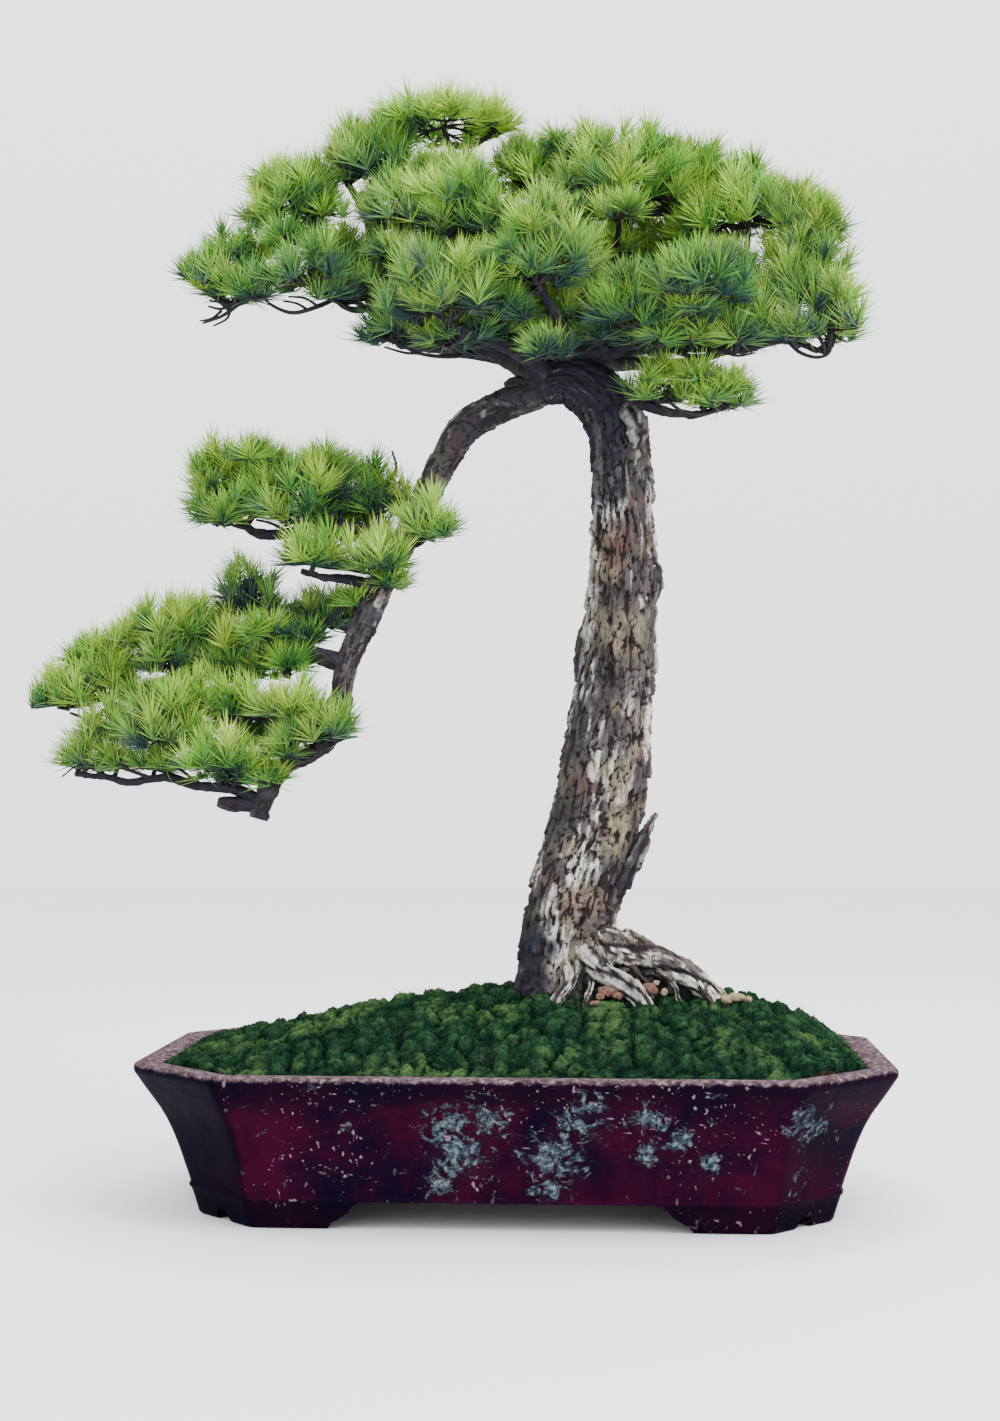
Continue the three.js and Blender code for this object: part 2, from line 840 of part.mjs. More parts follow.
// Shoots stand on faces of the core, spread by the golden angle from its top to below its edge
function shootPlans(plan) {
  const halfDepth = plan.halfLength * PAD_DEPTH;
  const wanted = (plan.halfLength * halfDepth * (0.5 + plan.height / 150)) / SHOOT.area;
  const count = THREE.MathUtils.clamp(Math.round(wanted), SHOOT.least, SHOOT.most);
  const golden = Math.PI * (3 - Math.sqrt(5));
  const phase = 2 * Math.PI * random();
  const free = new Set(plan.faces);
  const shoots = [];
  for (let i = 0; i < count; i += 1) {
    const up = 0.86 - (1.05 * i) / (count - 1);
    const out = Math.sqrt(1 - up * up);
    const angle = phase + golden * i;
    const target = new THREE.Vector3(out * Math.cos(angle), out * Math.sin(angle), up);
    const face = [...free].reduce((best, other) =>
      target.dot(outwardOf(plan, other)) > target.dot(outwardOf(plan, best)) ? other : best,
    );
    free.delete(face);
    shoots.push(shootOn(face));
  }
  return shoots;
}

function middleOf(corners) {
  const sum = corners.reduce((total, corner) => total.add(corner), new THREE.Vector3());
  return sum.multiplyScalar(1 / corners.length);
}

function outwardOf(plan, face) {
  return middleOf(face).sub(plan.core.middle).divide(plan.core.size).normalize();
}

// A slim three-sided core on one face: a foot in the face's plane, one ring above it, and a tip
function shootOn(face) {
  const base = middleOf(face);
  const normal = new THREE.Triangle(...face).getNormal(new THREE.Vector3());
  const axis = normal.clone();
  axis.z += 0.3;
  axis.x += 0.2 * (random() - 0.5);
  axis.y += 0.2 * (random() - 0.5);
  axis.normalize();
  const foot = face.map((corner) =>
    base.clone().addScaledVector(corner.clone().sub(base).normalize(), SHOOT.radius),
  );
  const ring = foot.map((corner) => corner.clone().addScaledVector(axis, SHOOT.band));
  const tip = base.clone().addScaledVector(axis, SHOOT.tip);
  return { face, base, normal, axis, foot, ring, tip };
}

// A shoot at the end of a side twig that leaves the middle of the core
function shootOnTwig(plan, angle) {
  const { middle, size } = plan.core;
  const base = middle.clone();
  base.x += (plan.halfLength - TWIG.inset) * Math.cos(angle);
  base.y += (plan.halfLength * PAD_DEPTH - TWIG.inset) * Math.sin(angle);
  base.z += size.z * (random() - 0.3) + TWIG.lift * Math.max(0, plan.height - 90) * random();
  const along = base.clone().sub(middle).normalize();
  const axis = along.clone();
  axis.z += 0.6;
  axis.normalize();
  const side = new THREE.Vector3().crossVectors(along, new THREE.Vector3(0, 0, 1)).normalize();
  const up = new THREE.Vector3().crossVectors(side, along);
  const corners = (centre, radius) =>
    [0, 1, 2].map((i) =>
      centre
        .clone()
        .addScaledVector(side, radius * Math.cos((2 * Math.PI * i) / 3))
        .addScaledVector(up, -radius * Math.sin((2 * Math.PI * i) / 3)),
    );
  const foot = corners(base, SHOOT.radius);
  const ring = foot.map((corner) => corner.clone().addScaledVector(axis, SHOOT.band));
  const tip = base.clone().addScaledVector(axis, SHOOT.tip);
  return { start: corners(middle, TWIG.radius), base, normal: axis, axis, foot, ring, tip };
}

function twigShootPlans(plan) {
  const count = Math.max(0, Math.round((plan.halfLength - TWIG.least) / TWIG.step));
  const phase = random() < 0.5 ? 0 : Math.PI;
  return Array.from({ length: count }, (_, i) =>
    shootOnTwig(plan, phase + (2 * Math.PI * (i + 0.2 * random())) / count),
  );
}

function shootPieces({ start, base, tip }) {
  const shoot = { a: base, b: tip, ra: SHOOT.radius, rb: 1 };
  if (!start) return [shoot];
  return [{ a: middleOf(start), b: base, ra: TWIG.radius, rb: TWIG.radius }, shoot];
}

// Each face of the slim core carries one needle: its foot, and the way it points
function needleSites({ base, axis, foot, ring, tip }) {
  const sites = [];
  const add = (corners, towards, lean) => {
    const out = towards.clone().sub(base);
    out.addScaledVector(axis, -out.dot(axis)).normalize();
    const way = axis.clone().multiplyScalar(Math.cos(lean)).addScaledVector(out, Math.sin(lean));
    sites.push({ corners, way });
  };
  for (let i = 0; i < 3; i += 1) {
    const next = (i + 1) % 3;
    add([foot[i], foot[next], ring[next]], foot[i].clone().lerp(foot[next], 0.78), 1.3);
    add([foot[i], ring[next], ring[i]], foot[i].clone().lerp(foot[next], 0.22), 0.98);
    add([ring[i], ring[next], tip], foot[i].clone().lerp(foot[next], 0.5), 0.42);
  }
  return sites;
}

function growNeedle(site, shoot, obstacles) {
  const foot = middleOf(site.corners);
  const length = NEEDLE.length + NEEDLE.vary * (2 * random() - 1);
  for (const share of [1, 1, 1, 0.85, 0.7, 0.5]) {
    const way = site.way.clone();
    const wander = share === 1 ? 0.12 : 0.2;
    way.x += wander * (random() - 0.5);
    way.y += wander * (random() - 0.5);
    way.z += wander * (random() - 0.5);
    const rise = way.normalize().dot(shoot.normal);
    if (rise < NEEDLE.leastRise) way.addScaledVector(shoot.normal, NEEDLE.leastRise - rise);
    const tip = foot.clone().addScaledVector(way.normalize(), share * length);
    const needle = { a: foot, b: tip, ra: NEEDLE.baseRadius, rb: 0.1, shoot };
    const others = obstacles.filter((piece) => piece.shoot !== shoot);
    if (isClear(needle, others, NEEDLE.clear)) return needle;
  }
  return null;
}

function nearby(pieces, centre, radius) {
  return pieces.filter((piece) => {
    const reach = radius + piece.a.distanceTo(piece.b) + Math.max(piece.ra, piece.rb);
    return piece.a.distanceTo(centre) < reach;
  });
}

// A list of faces whose corners are shared points
function faceList() {
  const points = [];
  const indexOf = new Map();
  const faces = [];
  const add = (...corners) => {
    faces.push(
      corners.map((corner) => {
        if (!indexOf.has(corner)) {
          indexOf.set(corner, points.length);
          points.push(corner);
        }
        return indexOf.get(corner);
      }),
    );
  };
  return { points, faces, add };
}

// The core, with the faces that carry shoots opened up into the shoots and their needles
function foliageSolid(plan) {
  const { points, faces, add } = faceList();
  const onCore = plan.shoots.filter((shoot) => shoot.face);
  const carrying = new Map(onCore.map((shoot) => [shoot.face, shoot]));
  for (const face of plan.faces) {
    if (!carrying.has(face)) {
      add(...face);
      continue;
    }
    const { foot, needles } = carrying.get(face);
    for (let i = 0; i < 3; i += 1) {
      const next = (i + 1) % 3;
      add(face[i], face[next], foot[next]);
      add(face[i], foot[next], foot[i]);
    }
    addNeedles(needles, add);
  }
  return solidFromLists(points, faces);
}

function addNeedles(needles, add) {
  for (const { corners, needle } of needles) {
    const [a, b, c] = corners;
    if (!needle) {
      add(a, b, c);
      continue;
    }
    add(a, b, needle.b);
    add(b, c, needle.b);
    add(c, a, needle.b);
  }
}

function twigShootSolid({ start, foot, needles }) {
  const { points, faces, add } = faceList();
  add(start[0], start[2], start[1]);
  for (let i = 0; i < 3; i += 1) {
    const next = (i + 1) % 3;
    add(start[i], start[next], foot[next]);
    add(start[i], foot[next], foot[i]);
  }
  addNeedles(needles, add);
  return solidFromLists(points, faces);
}

// A short stem joins the core to the branchlet's end, square to it
function hubSolid({ collar, direction, hub, core }) {
  const start = collar.clone().addScaledVector(direction, TWIG_FIT);
  const along = core.middle.clone().sub(hub).normalize();
  const stations = [
    [start, direction],
    [hub, direction.clone().add(along).normalize()],
    [core.middle, along],
  ];
  const radius = BRANCHLET.endRadius - 0.2;
  let normal = new THREE.Vector3(1, 0.2, 0);
  const points = stations.flatMap(([centre, tangent]) => {
    normal = normal.clone().addScaledVector(tangent, -normal.dot(tangent)).normalize();
    const side = new THREE.Vector3().crossVectors(tangent, normal);
    return [0, 1, 2].map((i) =>
      centre
        .clone()
        .addScaledVector(normal, radius * Math.cos((2 * Math.PI * i) / 3))
        .addScaledVector(side, radius * Math.sin((2 * Math.PI * i) / 3)),
    );
  });
  return solidFromLists(points, tubeFaces(stations.length, 3));
}

// Assembly
const branches = [TRUNK.slice(TRUNK_BEND), ...Object.values(LIMBS)];
const plans = [...CROWN_PADS, ...CASCADE_PADS].map((pad) => padPlan(pad, branches));
const woodPieces = [TRUNK, ...Object.values(LIMBS), ...Object.values(ROOTS)].flatMap(piecesOf);
for (const plan of plans) if (plan.branchlet) woodPieces.push(...piecesOf(plan.branchlet));

// A core that would meet wood is lifted clear of it
for (const plan of plans) {
  plan.core = coreOf(plan);
  const others = woodPieces.filter((piece) => piece.b.distanceTo(plan.collar) > 1);
  for (let lift = 0; lift < CORE.mostLifts; lift += 1) {
    if (corePieces(plan.core).every((piece) => isClear(piece, others, 1))) break;
    plan.core.middle.z += CORE.lift;
  }
  plan.faces = coreFaces(plan.core);
}

const stems = plans.flatMap((plan) => corePieces(plan.core).map((piece) => ({ ...piece, plan })));
for (const plan of plans) {
  plan.shoots = [...shootPlans(plan), ...twigShootPlans(plan)].filter((shoot) => {
    const own = shootPieces(shoot).map((piece) => ({ ...piece, shoot, plan }));
    const others = [...woodPieces, ...stems.filter((piece) => piece.plan !== plan)];
    const free = own.every((piece) => isClear(piece, others, 1));
    if (free) stems.push(...own);
    return free;
  });
}

const needlePieces = [];
const padSolids = plans.map((plan) => {
  const middle = plan.core.middle;
  const around = plan.halfLength + plan.height + NEEDLE.length;
  const fixed = nearby([...woodPieces, ...stems], middle, around).filter(
    (piece) => piece.shoot || piece.plan !== plan,
  );
  for (const shoot of plan.shoots) {
    const obstacles = [...fixed, ...nearby(needlePieces, middle, around)];
    shoot.needles = needleSites(shoot).map((site) => {
      const needle = growNeedle(site, shoot, obstacles);
      if (needle) needlePieces.push(needle);
      return { ...site, needle };
    });
  }
  const twigs = plan.shoots.filter((shoot) => shoot.start).map(twigShootSolid);
  return largestBody(joined([hubSolid(plan), foliageSolid(plan), ...twigs]));
});

const limbSolids = Object.values(LIMBS).map((limb) => sweep(limb, SIDE_LIMB));
const branchletSolids = plans
  .filter((plan) => plan.branchlet)
  .map((plan) => sweep(plan.branchlet, BRANCHLET));
const cascadeSolid = sweep(TRUNK.slice(TRUNK_BEND), CASCADE_LIMB);
const woodSolid = largestBody(
  joined([
    trunkSolid(),
    cascadeSolid,
    sweep(BARK_SLAB, SIDE_LIMB),
    ...rootSolids(),
    ...limbSolids,
    ...branchletSolids,
  ]),
);

const fill = fillSolid();
const sockets = joined([trunkSolid(ROOT_FIT), ...rootSolids(ROOT_FIT)]);
const foot = TRUNK.slice(0, 4);
const soilSockets = joined([
  sweep(foot, { ...SOIL_SOCKET, grow: SOIL_SOCKET.trunkGrow }),
  ...Object.values(ROOTS).map((root) =>
    sweep(root, { ...SOIL_SOCKET, grow: SOIL_SOCKET.rootGrow }),
  ),
]);
const screenPockets = [-POT.drainX, POT.drainX].map((x) => {
  const side = SCREEN.side + 2 * FIT;
  const pocket = new THREE.BoxGeometry(side, side, 2 * (SCREEN.thick + 2 * FIT));
  return solidFrom(pocket.translate(x, 0, POT.floorTop));
});
const soilField = heightField(moundHeight, SOIL_GRID, 0);
const soilLift = heightField((x, y) => moundHeight(x, y) + FIT, SOIL_GRID, 0);
const soilSolid = largestBody(
  fill.intersect(soilField).subtract(soilSockets).subtract(joined(screenPockets)),
);
const mossSolid = largestBody(
  fill.intersect(heightField(mossHeight, MOSS.grid, 0)).subtract(soilLift).subtract(sockets),
);

const bonsai = new THREE.Group();
function addNode(name, solid, [color, roughness]) {
  const material = new THREE.MeshStandardMaterial({ color, roughness, metalness: 0 });
  const mesh = new THREE.Mesh(geometryFrom(solid), material);
  mesh.name = name;
  bonsai.add(mesh);
}
addNode("pot", potSolid(), COLOURS.pot);
addNode("drain_screen_left", screenSolid(-POT.drainX), COLOURS.screen);
addNode("drain_screen_right", screenSolid(POT.drainX), COLOURS.screen);
addNode("soil", soilSolid, COLOURS.soil);
addNode("moss", mossSolid, COLOURS.moss);
addNode("wood", woodSolid, COLOURS.wood);
padSolids.forEach((solid, i) => {
  const inCrown = i < CROWN_PADS.length;
  const number = String(inCrown ? i + 1 : i + 1 - CROWN_PADS.length).padStart(2, "0");
  const name = inCrown ? "crown_pad_" + number : "cascade_pad_" + number;
  addNode(name, solid, inCrown ? COLOURS.crown : COLOURS.cascade);
});

// The origin is the middle of the whole object's box, at the ground
const extent = new THREE.Box3().setFromObject(bonsai);
const centre = extent.getCenter(new THREE.Vector3());
bonsai.position.set(-centre.x, -centre.y, -extent.min.z);
bonsai.updateMatrixWorld(true);

export default bonsai;
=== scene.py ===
"""A pine bonsai in its pot: an upright flaky trunk that arches over into one long limb that cascades
to the left, a crown of needle pads on the arch, and a long eight-sided glazed pot with a mound of
soil under moss.

Lists and sizes are millimetres from the middle of the pot at the height of the ground, +Z up and
-Y towards the viewer. They become metres in the row frame when a mesh is made.
"""

import math

import bmesh
import bpy
import numpy as np
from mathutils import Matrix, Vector


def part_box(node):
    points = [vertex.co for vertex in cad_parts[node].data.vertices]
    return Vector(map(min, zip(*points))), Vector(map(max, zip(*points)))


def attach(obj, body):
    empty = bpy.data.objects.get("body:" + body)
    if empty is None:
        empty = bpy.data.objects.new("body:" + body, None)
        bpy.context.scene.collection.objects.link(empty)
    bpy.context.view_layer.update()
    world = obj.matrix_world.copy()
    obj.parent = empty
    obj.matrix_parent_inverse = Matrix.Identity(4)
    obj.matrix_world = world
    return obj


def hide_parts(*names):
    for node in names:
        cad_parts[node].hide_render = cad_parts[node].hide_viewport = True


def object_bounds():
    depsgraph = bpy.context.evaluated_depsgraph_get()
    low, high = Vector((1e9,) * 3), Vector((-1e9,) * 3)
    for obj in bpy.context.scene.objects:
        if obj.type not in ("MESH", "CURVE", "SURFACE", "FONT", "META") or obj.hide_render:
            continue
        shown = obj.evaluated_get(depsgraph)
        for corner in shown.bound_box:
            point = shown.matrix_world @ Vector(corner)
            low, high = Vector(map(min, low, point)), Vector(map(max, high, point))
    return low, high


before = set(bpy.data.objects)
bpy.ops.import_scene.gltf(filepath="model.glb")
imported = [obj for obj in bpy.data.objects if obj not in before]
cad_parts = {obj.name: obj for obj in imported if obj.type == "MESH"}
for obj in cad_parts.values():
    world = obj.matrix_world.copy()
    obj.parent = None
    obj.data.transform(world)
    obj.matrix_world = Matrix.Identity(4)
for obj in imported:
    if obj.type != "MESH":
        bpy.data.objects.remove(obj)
cad_low, cad_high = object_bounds()

MM = 0.001  # metres
pot_low, pot_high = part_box("pot")
ORIGIN = np.array([(pot_low.x + pot_high.x) / 2, (pot_low.y + pot_high.y) / 2, pot_low.z])
BOX_LOW = (np.array(cad_low) - ORIGIN) / MM
BOX_HIGH = (np.array(cad_high) - ORIGIN) / MM
GOLDEN = math.pi * (3 - math.sqrt(5))  # a turn that never repeats

# Wood: [x, y, z, radius] along each piece, the trunk first upright and then as the cascading limb
TRUNK = [
    (55, 0, 205, 66), (57, 0, 240, 64), (60, 0, 285, 61), (65, 0, 340, 57), (72, 0, 385, 60),
    (90, 0, 450, 61), (107, 0, 515, 60), (117, 0, 580, 60), (127, 0, 655, 54), (136, 0, 730, 49),
    (143, 0, 818, 45.5), (144, 0, 900, 41), (142, 0, 974, 40), (139, 0, 1022, 40),
    (130, 0, 1060, 41), (104, 0, 1092, 39), (66, 0, 1108, 33), (38, 0, 1103, 27),
    (17, 0, 1091, 23.5), (-24, -5, 1073, 22.5), (-68, -10, 1048, 22.5), (-97, -15, 1004, 20),
    (-121, -22, 955, 19), (-140, -27, 912, 17.5), (-177, -38, 839, 17.5), (-205, -48, 772, 18),
    (-229, -57, 712, 15.5), (-239, -66, 641, 13.5), (-262, -71, 604, 11.5), (-310, -77, 577, 12),
    (-330, -81, 545, 13.5), (-338, -83, 524, 14), (-342, -84, 510, 11),
]
LIMBS = {
    "leader": [
        (78, 2, 1092, 27), (62, 4, 1135, 25), (72, 8, 1180, 21), (100, 12, 1240, 16),
        (132, 15, 1295, 12), (161, 10, 1345, 6),
    ],
    "right_high": [
        (86, 8, 1210, 14), (140, 0, 1224, 12), (205, -10, 1233, 10), (275, -10, 1238, 8),
        (332, -16, 1222, 6), (370, -26, 1206, 5), (388, -30, 1217, 4),
    ],
    "right_low": [
        (66, -2, 1150, 17), (116, -20, 1146, 13), (180, -40, 1147, 11), (247, -50, 1143, 9.5),
        (301, -48, 1141, 8.5), (362, -45, 1153, 6.5), (404, -55, 1134, 4),
    ],
    "left_low": [
        (45, 0, 1108, 25), (-4, -5, 1138, 18), (-40, -10, 1154, 15), (-90, -10, 1160, 13),
        (-145, -10, 1165, 13), (-186, -9, 1198, 12), (-208, -5, 1250, 11), (-204, 3, 1325, 8),
        (-237, 5, 1392, 4),
    ],
    "left_out": [
        (-209, -3, 1285, 9), (-240, -10, 1308, 8), (-290, -17, 1318, 7), (-340, -24, 1290, 6),
        (-374, -28, 1240, 5), (-398, -30, 1206, 4),
    ],
    "apex": [
        (-48, -8, 1150, 14), (-72, 10, 1190, 12), (-67, 22, 1260, 10.5), (-66, 25, 1345, 8.5),
        (-84, 22, 1410, 6.5), (-102, 20, 1462, 4),
    ],
    "shoulder": [
        (138, -10, 1080, 13), (170, -28, 1070, 8), (200, -40, 1057, 7), (240, -46, 1052, 5.5),
        (267, -50, 1056, 4),
    ],
    "front_left": [
        (40, -8, 1112, 17), (14, -50, 1132, 12), (-30, -92, 1146, 9), (-78, -122, 1160, 5),
    ],
    "front_middle": [
        (66, -10, 1140, 14), (66, -60, 1158, 10), (52, -105, 1178, 8), (38, -136, 1200, 5),
    ],
    "front_right": [
        (120, -22, 1138, 11), (160, -70, 1150, 8.5), (200, -105, 1166, 7), (234, -128, 1184, 4.5),
    ],
    "back_left": [
        (56, 12, 1118, 18), (18, 66, 1146, 13), (-50, 118, 1172, 10), (-126, 138, 1190, 8),
        (-196, 128, 1222, 6), (-238, 112, 1252, 4),
    ],
    "back_right": [
        (84, 12, 1120, 17), (120, 72, 1146, 12), (176, 124, 1158, 9), (236, 142, 1164, 7),
        (282, 136, 1172, 4),
    ],
    "back_high": [
        (96, 16, 1232, 12), (100, 78, 1258, 9), (70, 128, 1282, 7), (10, 150, 1298, 6),
        (-60, 156, 1306, 5), (-98, 156, 1314, 4),
    ],
    "cascade_upper": [
        (-155, -32, 880, 11), (-196, -32, 901, 9), (-240, -35, 905, 8.5), (-300, -40, 898, 8),
        (-352, -38, 897, 7), (-378, -34, 914, 5), (-400, -31, 922, 4),
    ],
    "cascade_front": [
        (-183, -42, 822, 9), (-223, -60, 831, 7.5), (-260, -78, 833, 5.5), (-284, -90, 840, 4),
    ],
    "cascade_low": [
        (-224, -56, 716, 14), (-265, -50, 729, 12.5), (-305, -36, 740, 11), (-350, -22, 757, 9),
        (-395, -16, 744, 8), (-449, -20, 709, 7.5), (-503, -25, 692, 6.5), (-560, -38, 676, 5.5),
        (-602, -52, 662, 4),
    ],
    "cascade_inner": [
        (-243, -68, 622, 9), (-287, -80, 640, 8.5), (-339, -75, 648, 8), (-390, -70, 642, 7),
        (-430, -76, 615, 6), (-470, -84, 596, 4.5),
    ],
    "cascade_tip": [
        (-334, -82, 530, 11), (-368, -87, 548, 8), (-420, -95, 554, 7), (-465, -95, 565, 6),
        (-515, -94, 559, 5.5), (-545, -88, 566, 5), (-578, -82, 568, 4),
    ],
    "cut_stub": [
        (-335, -83, 526, 12), (-358, -86, 529, 10), (-380, -90, 530, 11), (-394, -94, 533, 7),
    ],
    "dead_stub": [
        (22, 0, 1100, 13), (-4, -14, 1106, 8), (-16, -20, 1100, 5),
    ],
}
ROOTS = {
    "root_right": [
        (80, -2, 350, 32), (122, -18, 338, 26), (165, -30, 328, 21), (205, -36, 316, 18),
        (240, -42, 297, 15), (274, -46, 262, 12), (290, -46, 236, 9),
    ],
    "root_front_right": [
        (84, -26, 340, 20), (112, -56, 310, 14), (146, -78, 292, 12.5), (172, -92, 266, 10),
        (182, -98, 236, 7),
    ],
    "root_front_left": [
        (70, -34, 330, 18), (70, -66, 294, 8), (55, -85, 272, 7.5), (46, -96, 240, 6.5),
    ],
    "root_left": [
        (46, -6, 335, 28), (38, -14, 300, 27), (31, -20, 268, 22), (25, -26, 232, 15),
    ],
    "root_back": [
        (62, 30, 330, 28), (66, 66, 290, 19), (76, 100, 258, 14), (84, 126, 228, 10),
    ],
    "root_back_left": [
        (42, 26, 314, 22), (12, 58, 272, 15), (-24, 80, 242, 11), (-48, 96, 216, 8),
    ],
}
# How much painted shade each root carries, and how much paler than the others
ROOT_TONES = {
    "root_right": (-0.16, 0.16), "root_front_right": (0.26, 0.0), "root_front_left": (0.2, 0.0),
    "root_left": (0.7, 0.0), "root_back": (0.0, 0.0), "root_back_left": (0.7, 0.0),
}
# Tinted places on the trunk's front: x, y, z, radius, tint
BARK_TINTS = [
    (84, -50, 394, 46, "tan"), (136, -45, 484, 42, "buff"), (150, -40, 762, 44, "buff"),
    (139, -36, 892, 30, "russet"), (142, -40, 744, 20, "russet"), (129, -36, 860, 24, "russet"),
]
TINTS = {"tan": (0.30, 0.205, 0.15), "buff": (0.31, 0.255, 0.15), "russet": (0.12, 0.054, 0.038)}
# Pads of needles: x, y, z of the underside, half length, height
CROWN_PADS = [
    (-105, 20, 1462, 98, 64), (-194, 0, 1388, 69, 88), (-312, -10, 1325, 72, 88),
    (-398, -30, 1214, 54, 122), (-276, -60, 1224, 70, 86), (-160, -56, 1305, 57, 92),
    (-82, -130, 1160, 92, 116), (-80, -66, 1284, 80, 120), (12, 32, 1375, 46, 96),
    (150, -14, 1340, 108, 118), (36, -142, 1202, 84, 122), (300, -2, 1300, 88, 124),
    (236, -132, 1184, 72, 84), (390, -30, 1226, 62, 132), (408, -66, 1142, 58, 108),
    (160, -104, 1150, 66, 84), (304, -52, 1146, 68, 76), (-30, -62, 1148, 70, 70),
    (34, -78, 1128, 34, 46), (-164, -70, 1146, 46, 66), (190, -40, 1064, 50, 76),
    (272, -52, 1054, 42, 60), (150, 150, 1168, 76, 96), (284, 136, 1178, 72, 96),
    (6, 166, 1186, 80, 96), (-132, 150, 1198, 76, 96), (66, 150, 1294, 80, 104),
    (-104, 158, 1320, 76, 104), (210, 112, 1300, 74, 110), (-244, 112, 1258, 66, 92),
]
CASCADE_PADS = [
    (-402, -30, 916, 58, 118), (-296, -58, 903, 64, 116), (-192, -14, 916, 50, 98),
    (-266, -92, 842, 48, 66), (-186, -78, 836, 44, 70), (-118, -72, 878, 41, 76),
    (-376, 22, 784, 48, 92), (-270, 14, 764, 56, 76), (-560, -40, 676, 48, 92),
    (-474, -30, 700, 68, 122), (-384, -22, 690, 50, 96), (-618, -58, 656, 46, 66),
    (-470, -86, 600, 66, 92), (-576, -80, 576, 38, 64), (-388, -112, 566, 58, 72),
    (-296, -90, 640, 50, 66), (-236, -112, 614, 36, 62), (-246, 54, 892, 62, 90),
    (-448, 52, 734, 60, 88), (-352, -6, 604, 52, 76),
]
# Smaller clusters that close the crown and the cascade between the pads
CROWN_CLUSTERS = [
    (60, -70, 1173, 34, 63), (308, -40, 1200, 37, 92), (102, 0, 1398, 43, 68),
    (236, -5, 1359, 46, 77), (400, -20, 1283, 40, 76), (-314, 0, 1364, 55, 63),
    (-232, 15, 1417, 38, 72), (-67, 10, 1365, 38, 74), (-357, -25, 1271, 30, 57),
    (-237, -20, 1270, 32, 59), (129, 10, 1283, 30, 62), (-165, -40, 1225, 32, 62),
    (29, 40, 1386, 41, 78), (170, -30, 1373, 43, 70), (315, -40, 1320, 42, 71),
    (-119, -95, 1210, 42, 82), (9, -110, 1211, 39, 77), (113, -60, 1140, 42, 58),
    (232, -90, 1135, 41, 53), (367, -60, 1198, 39, 76), (-79, -90, 1136, 42, 54),
    (-363, -50, 1212, 32, 51), (-251, -60, 1208, 34, 50), (433, -50, 1155, 20, 51),
    (-282, 0, 1366, 30, 72), (253, 0, 1370, 35, 79), (382, -10, 1316, 37, 71),
    (419, -20, 1299, 24, 68), (99, 0, 1408, 24, 72), (58, 20, 1415, 22, 59),
    (-188, 15, 1439, 24, 66), (-108, 0, 1391, 27, 49),
    (-33, 20, 1459, 27, 45), (-12, -118, 1160, 39, 74), (123, -50, 1203, 23, 61),
    (-58, -70, 1140, 31, 47), (-135, -20, 1346, 31, 62), (166, -80, 1136, 29, 49),
    (292, -80, 1141, 30, 49), (209, -10, 1402, 35, 50), (368, -25, 1326, 18, 52),
    (403, -30, 1310, 13, 46), (-319, 10, 1377, 33, 54), (-440, -35, 1240, 9, 48),
    (-6, 30, 1412, 11, 49), (36, -110, 1293, 26, 50), (140, -95, 1300, 36, 49),
    (-319, -50, 1289, 18, 31), (-165, -80, 1255, 10, 31), (153, -120, 1202, 20, 32),
    (284, -70, 1240, 20, 37), (231, -120, 1164, 28, 30), (243, -60, 1088, 9, 21),
    (286, -66, 1073, 9, 26), (60, 84, 1214, 48, 70), (204, 70, 1222, 48, 68),
    (-60, 84, 1236, 46, 66), (-176, 66, 1290, 38, 56), (130, 60, 1176, 46, 52),
    (41, -140, 1107, 22, 40), (79, -90, 1297, 14, 34), (34, 66, 1180, 40, 60),
    (168, 76, 1270, 42, 64), (228, 4, 1166, 42, 58), (129, -78, 1145, 16, 24),
    (189, -98, 1134, 16, 23), (295, -92, 1134, 16, 27), (366, -88, 1138, 15, 27),
]
CASCADE_CLUSTERS = [
    (-346, -45, 939, 40, 84), (-240, -40, 932, 37, 84), (-569, -35, 681, 40, 83),
    (-437, -10, 751, 40, 67), (-439, -60, 646, 50, 70), (-549, -70, 612, 39, 68),
    (-378, -60, 639, 42, 68), (-305, -50, 704, 31, 52), (-481, -85, 569, 34, 46),
    (-371, -95, 553, 36, 48), (-327, -90, 548, 18, 43), (-338, -20, 725, 37, 56),
    (-213, -35, 789, 15, 44), (-277, -100, 606, 39, 53), (-416, -20, 973, 24, 56),
    (-169, -60, 816, 21, 47), (-355, -50, 986, 34, 43), (-260, -45, 980, 36, 38),
    (-593, -35, 714, 16, 48), (-539, -35, 739, 13, 34), (-501, -60, 662, 31, 40),
    (-531, -85, 572, 12, 39), (-336, -70, 749, 21, 28), (-288, -30, 741, 15, 23),
    (-306, -100, 587, 15, 19), (-400, -60, 903, 22, 24),
]
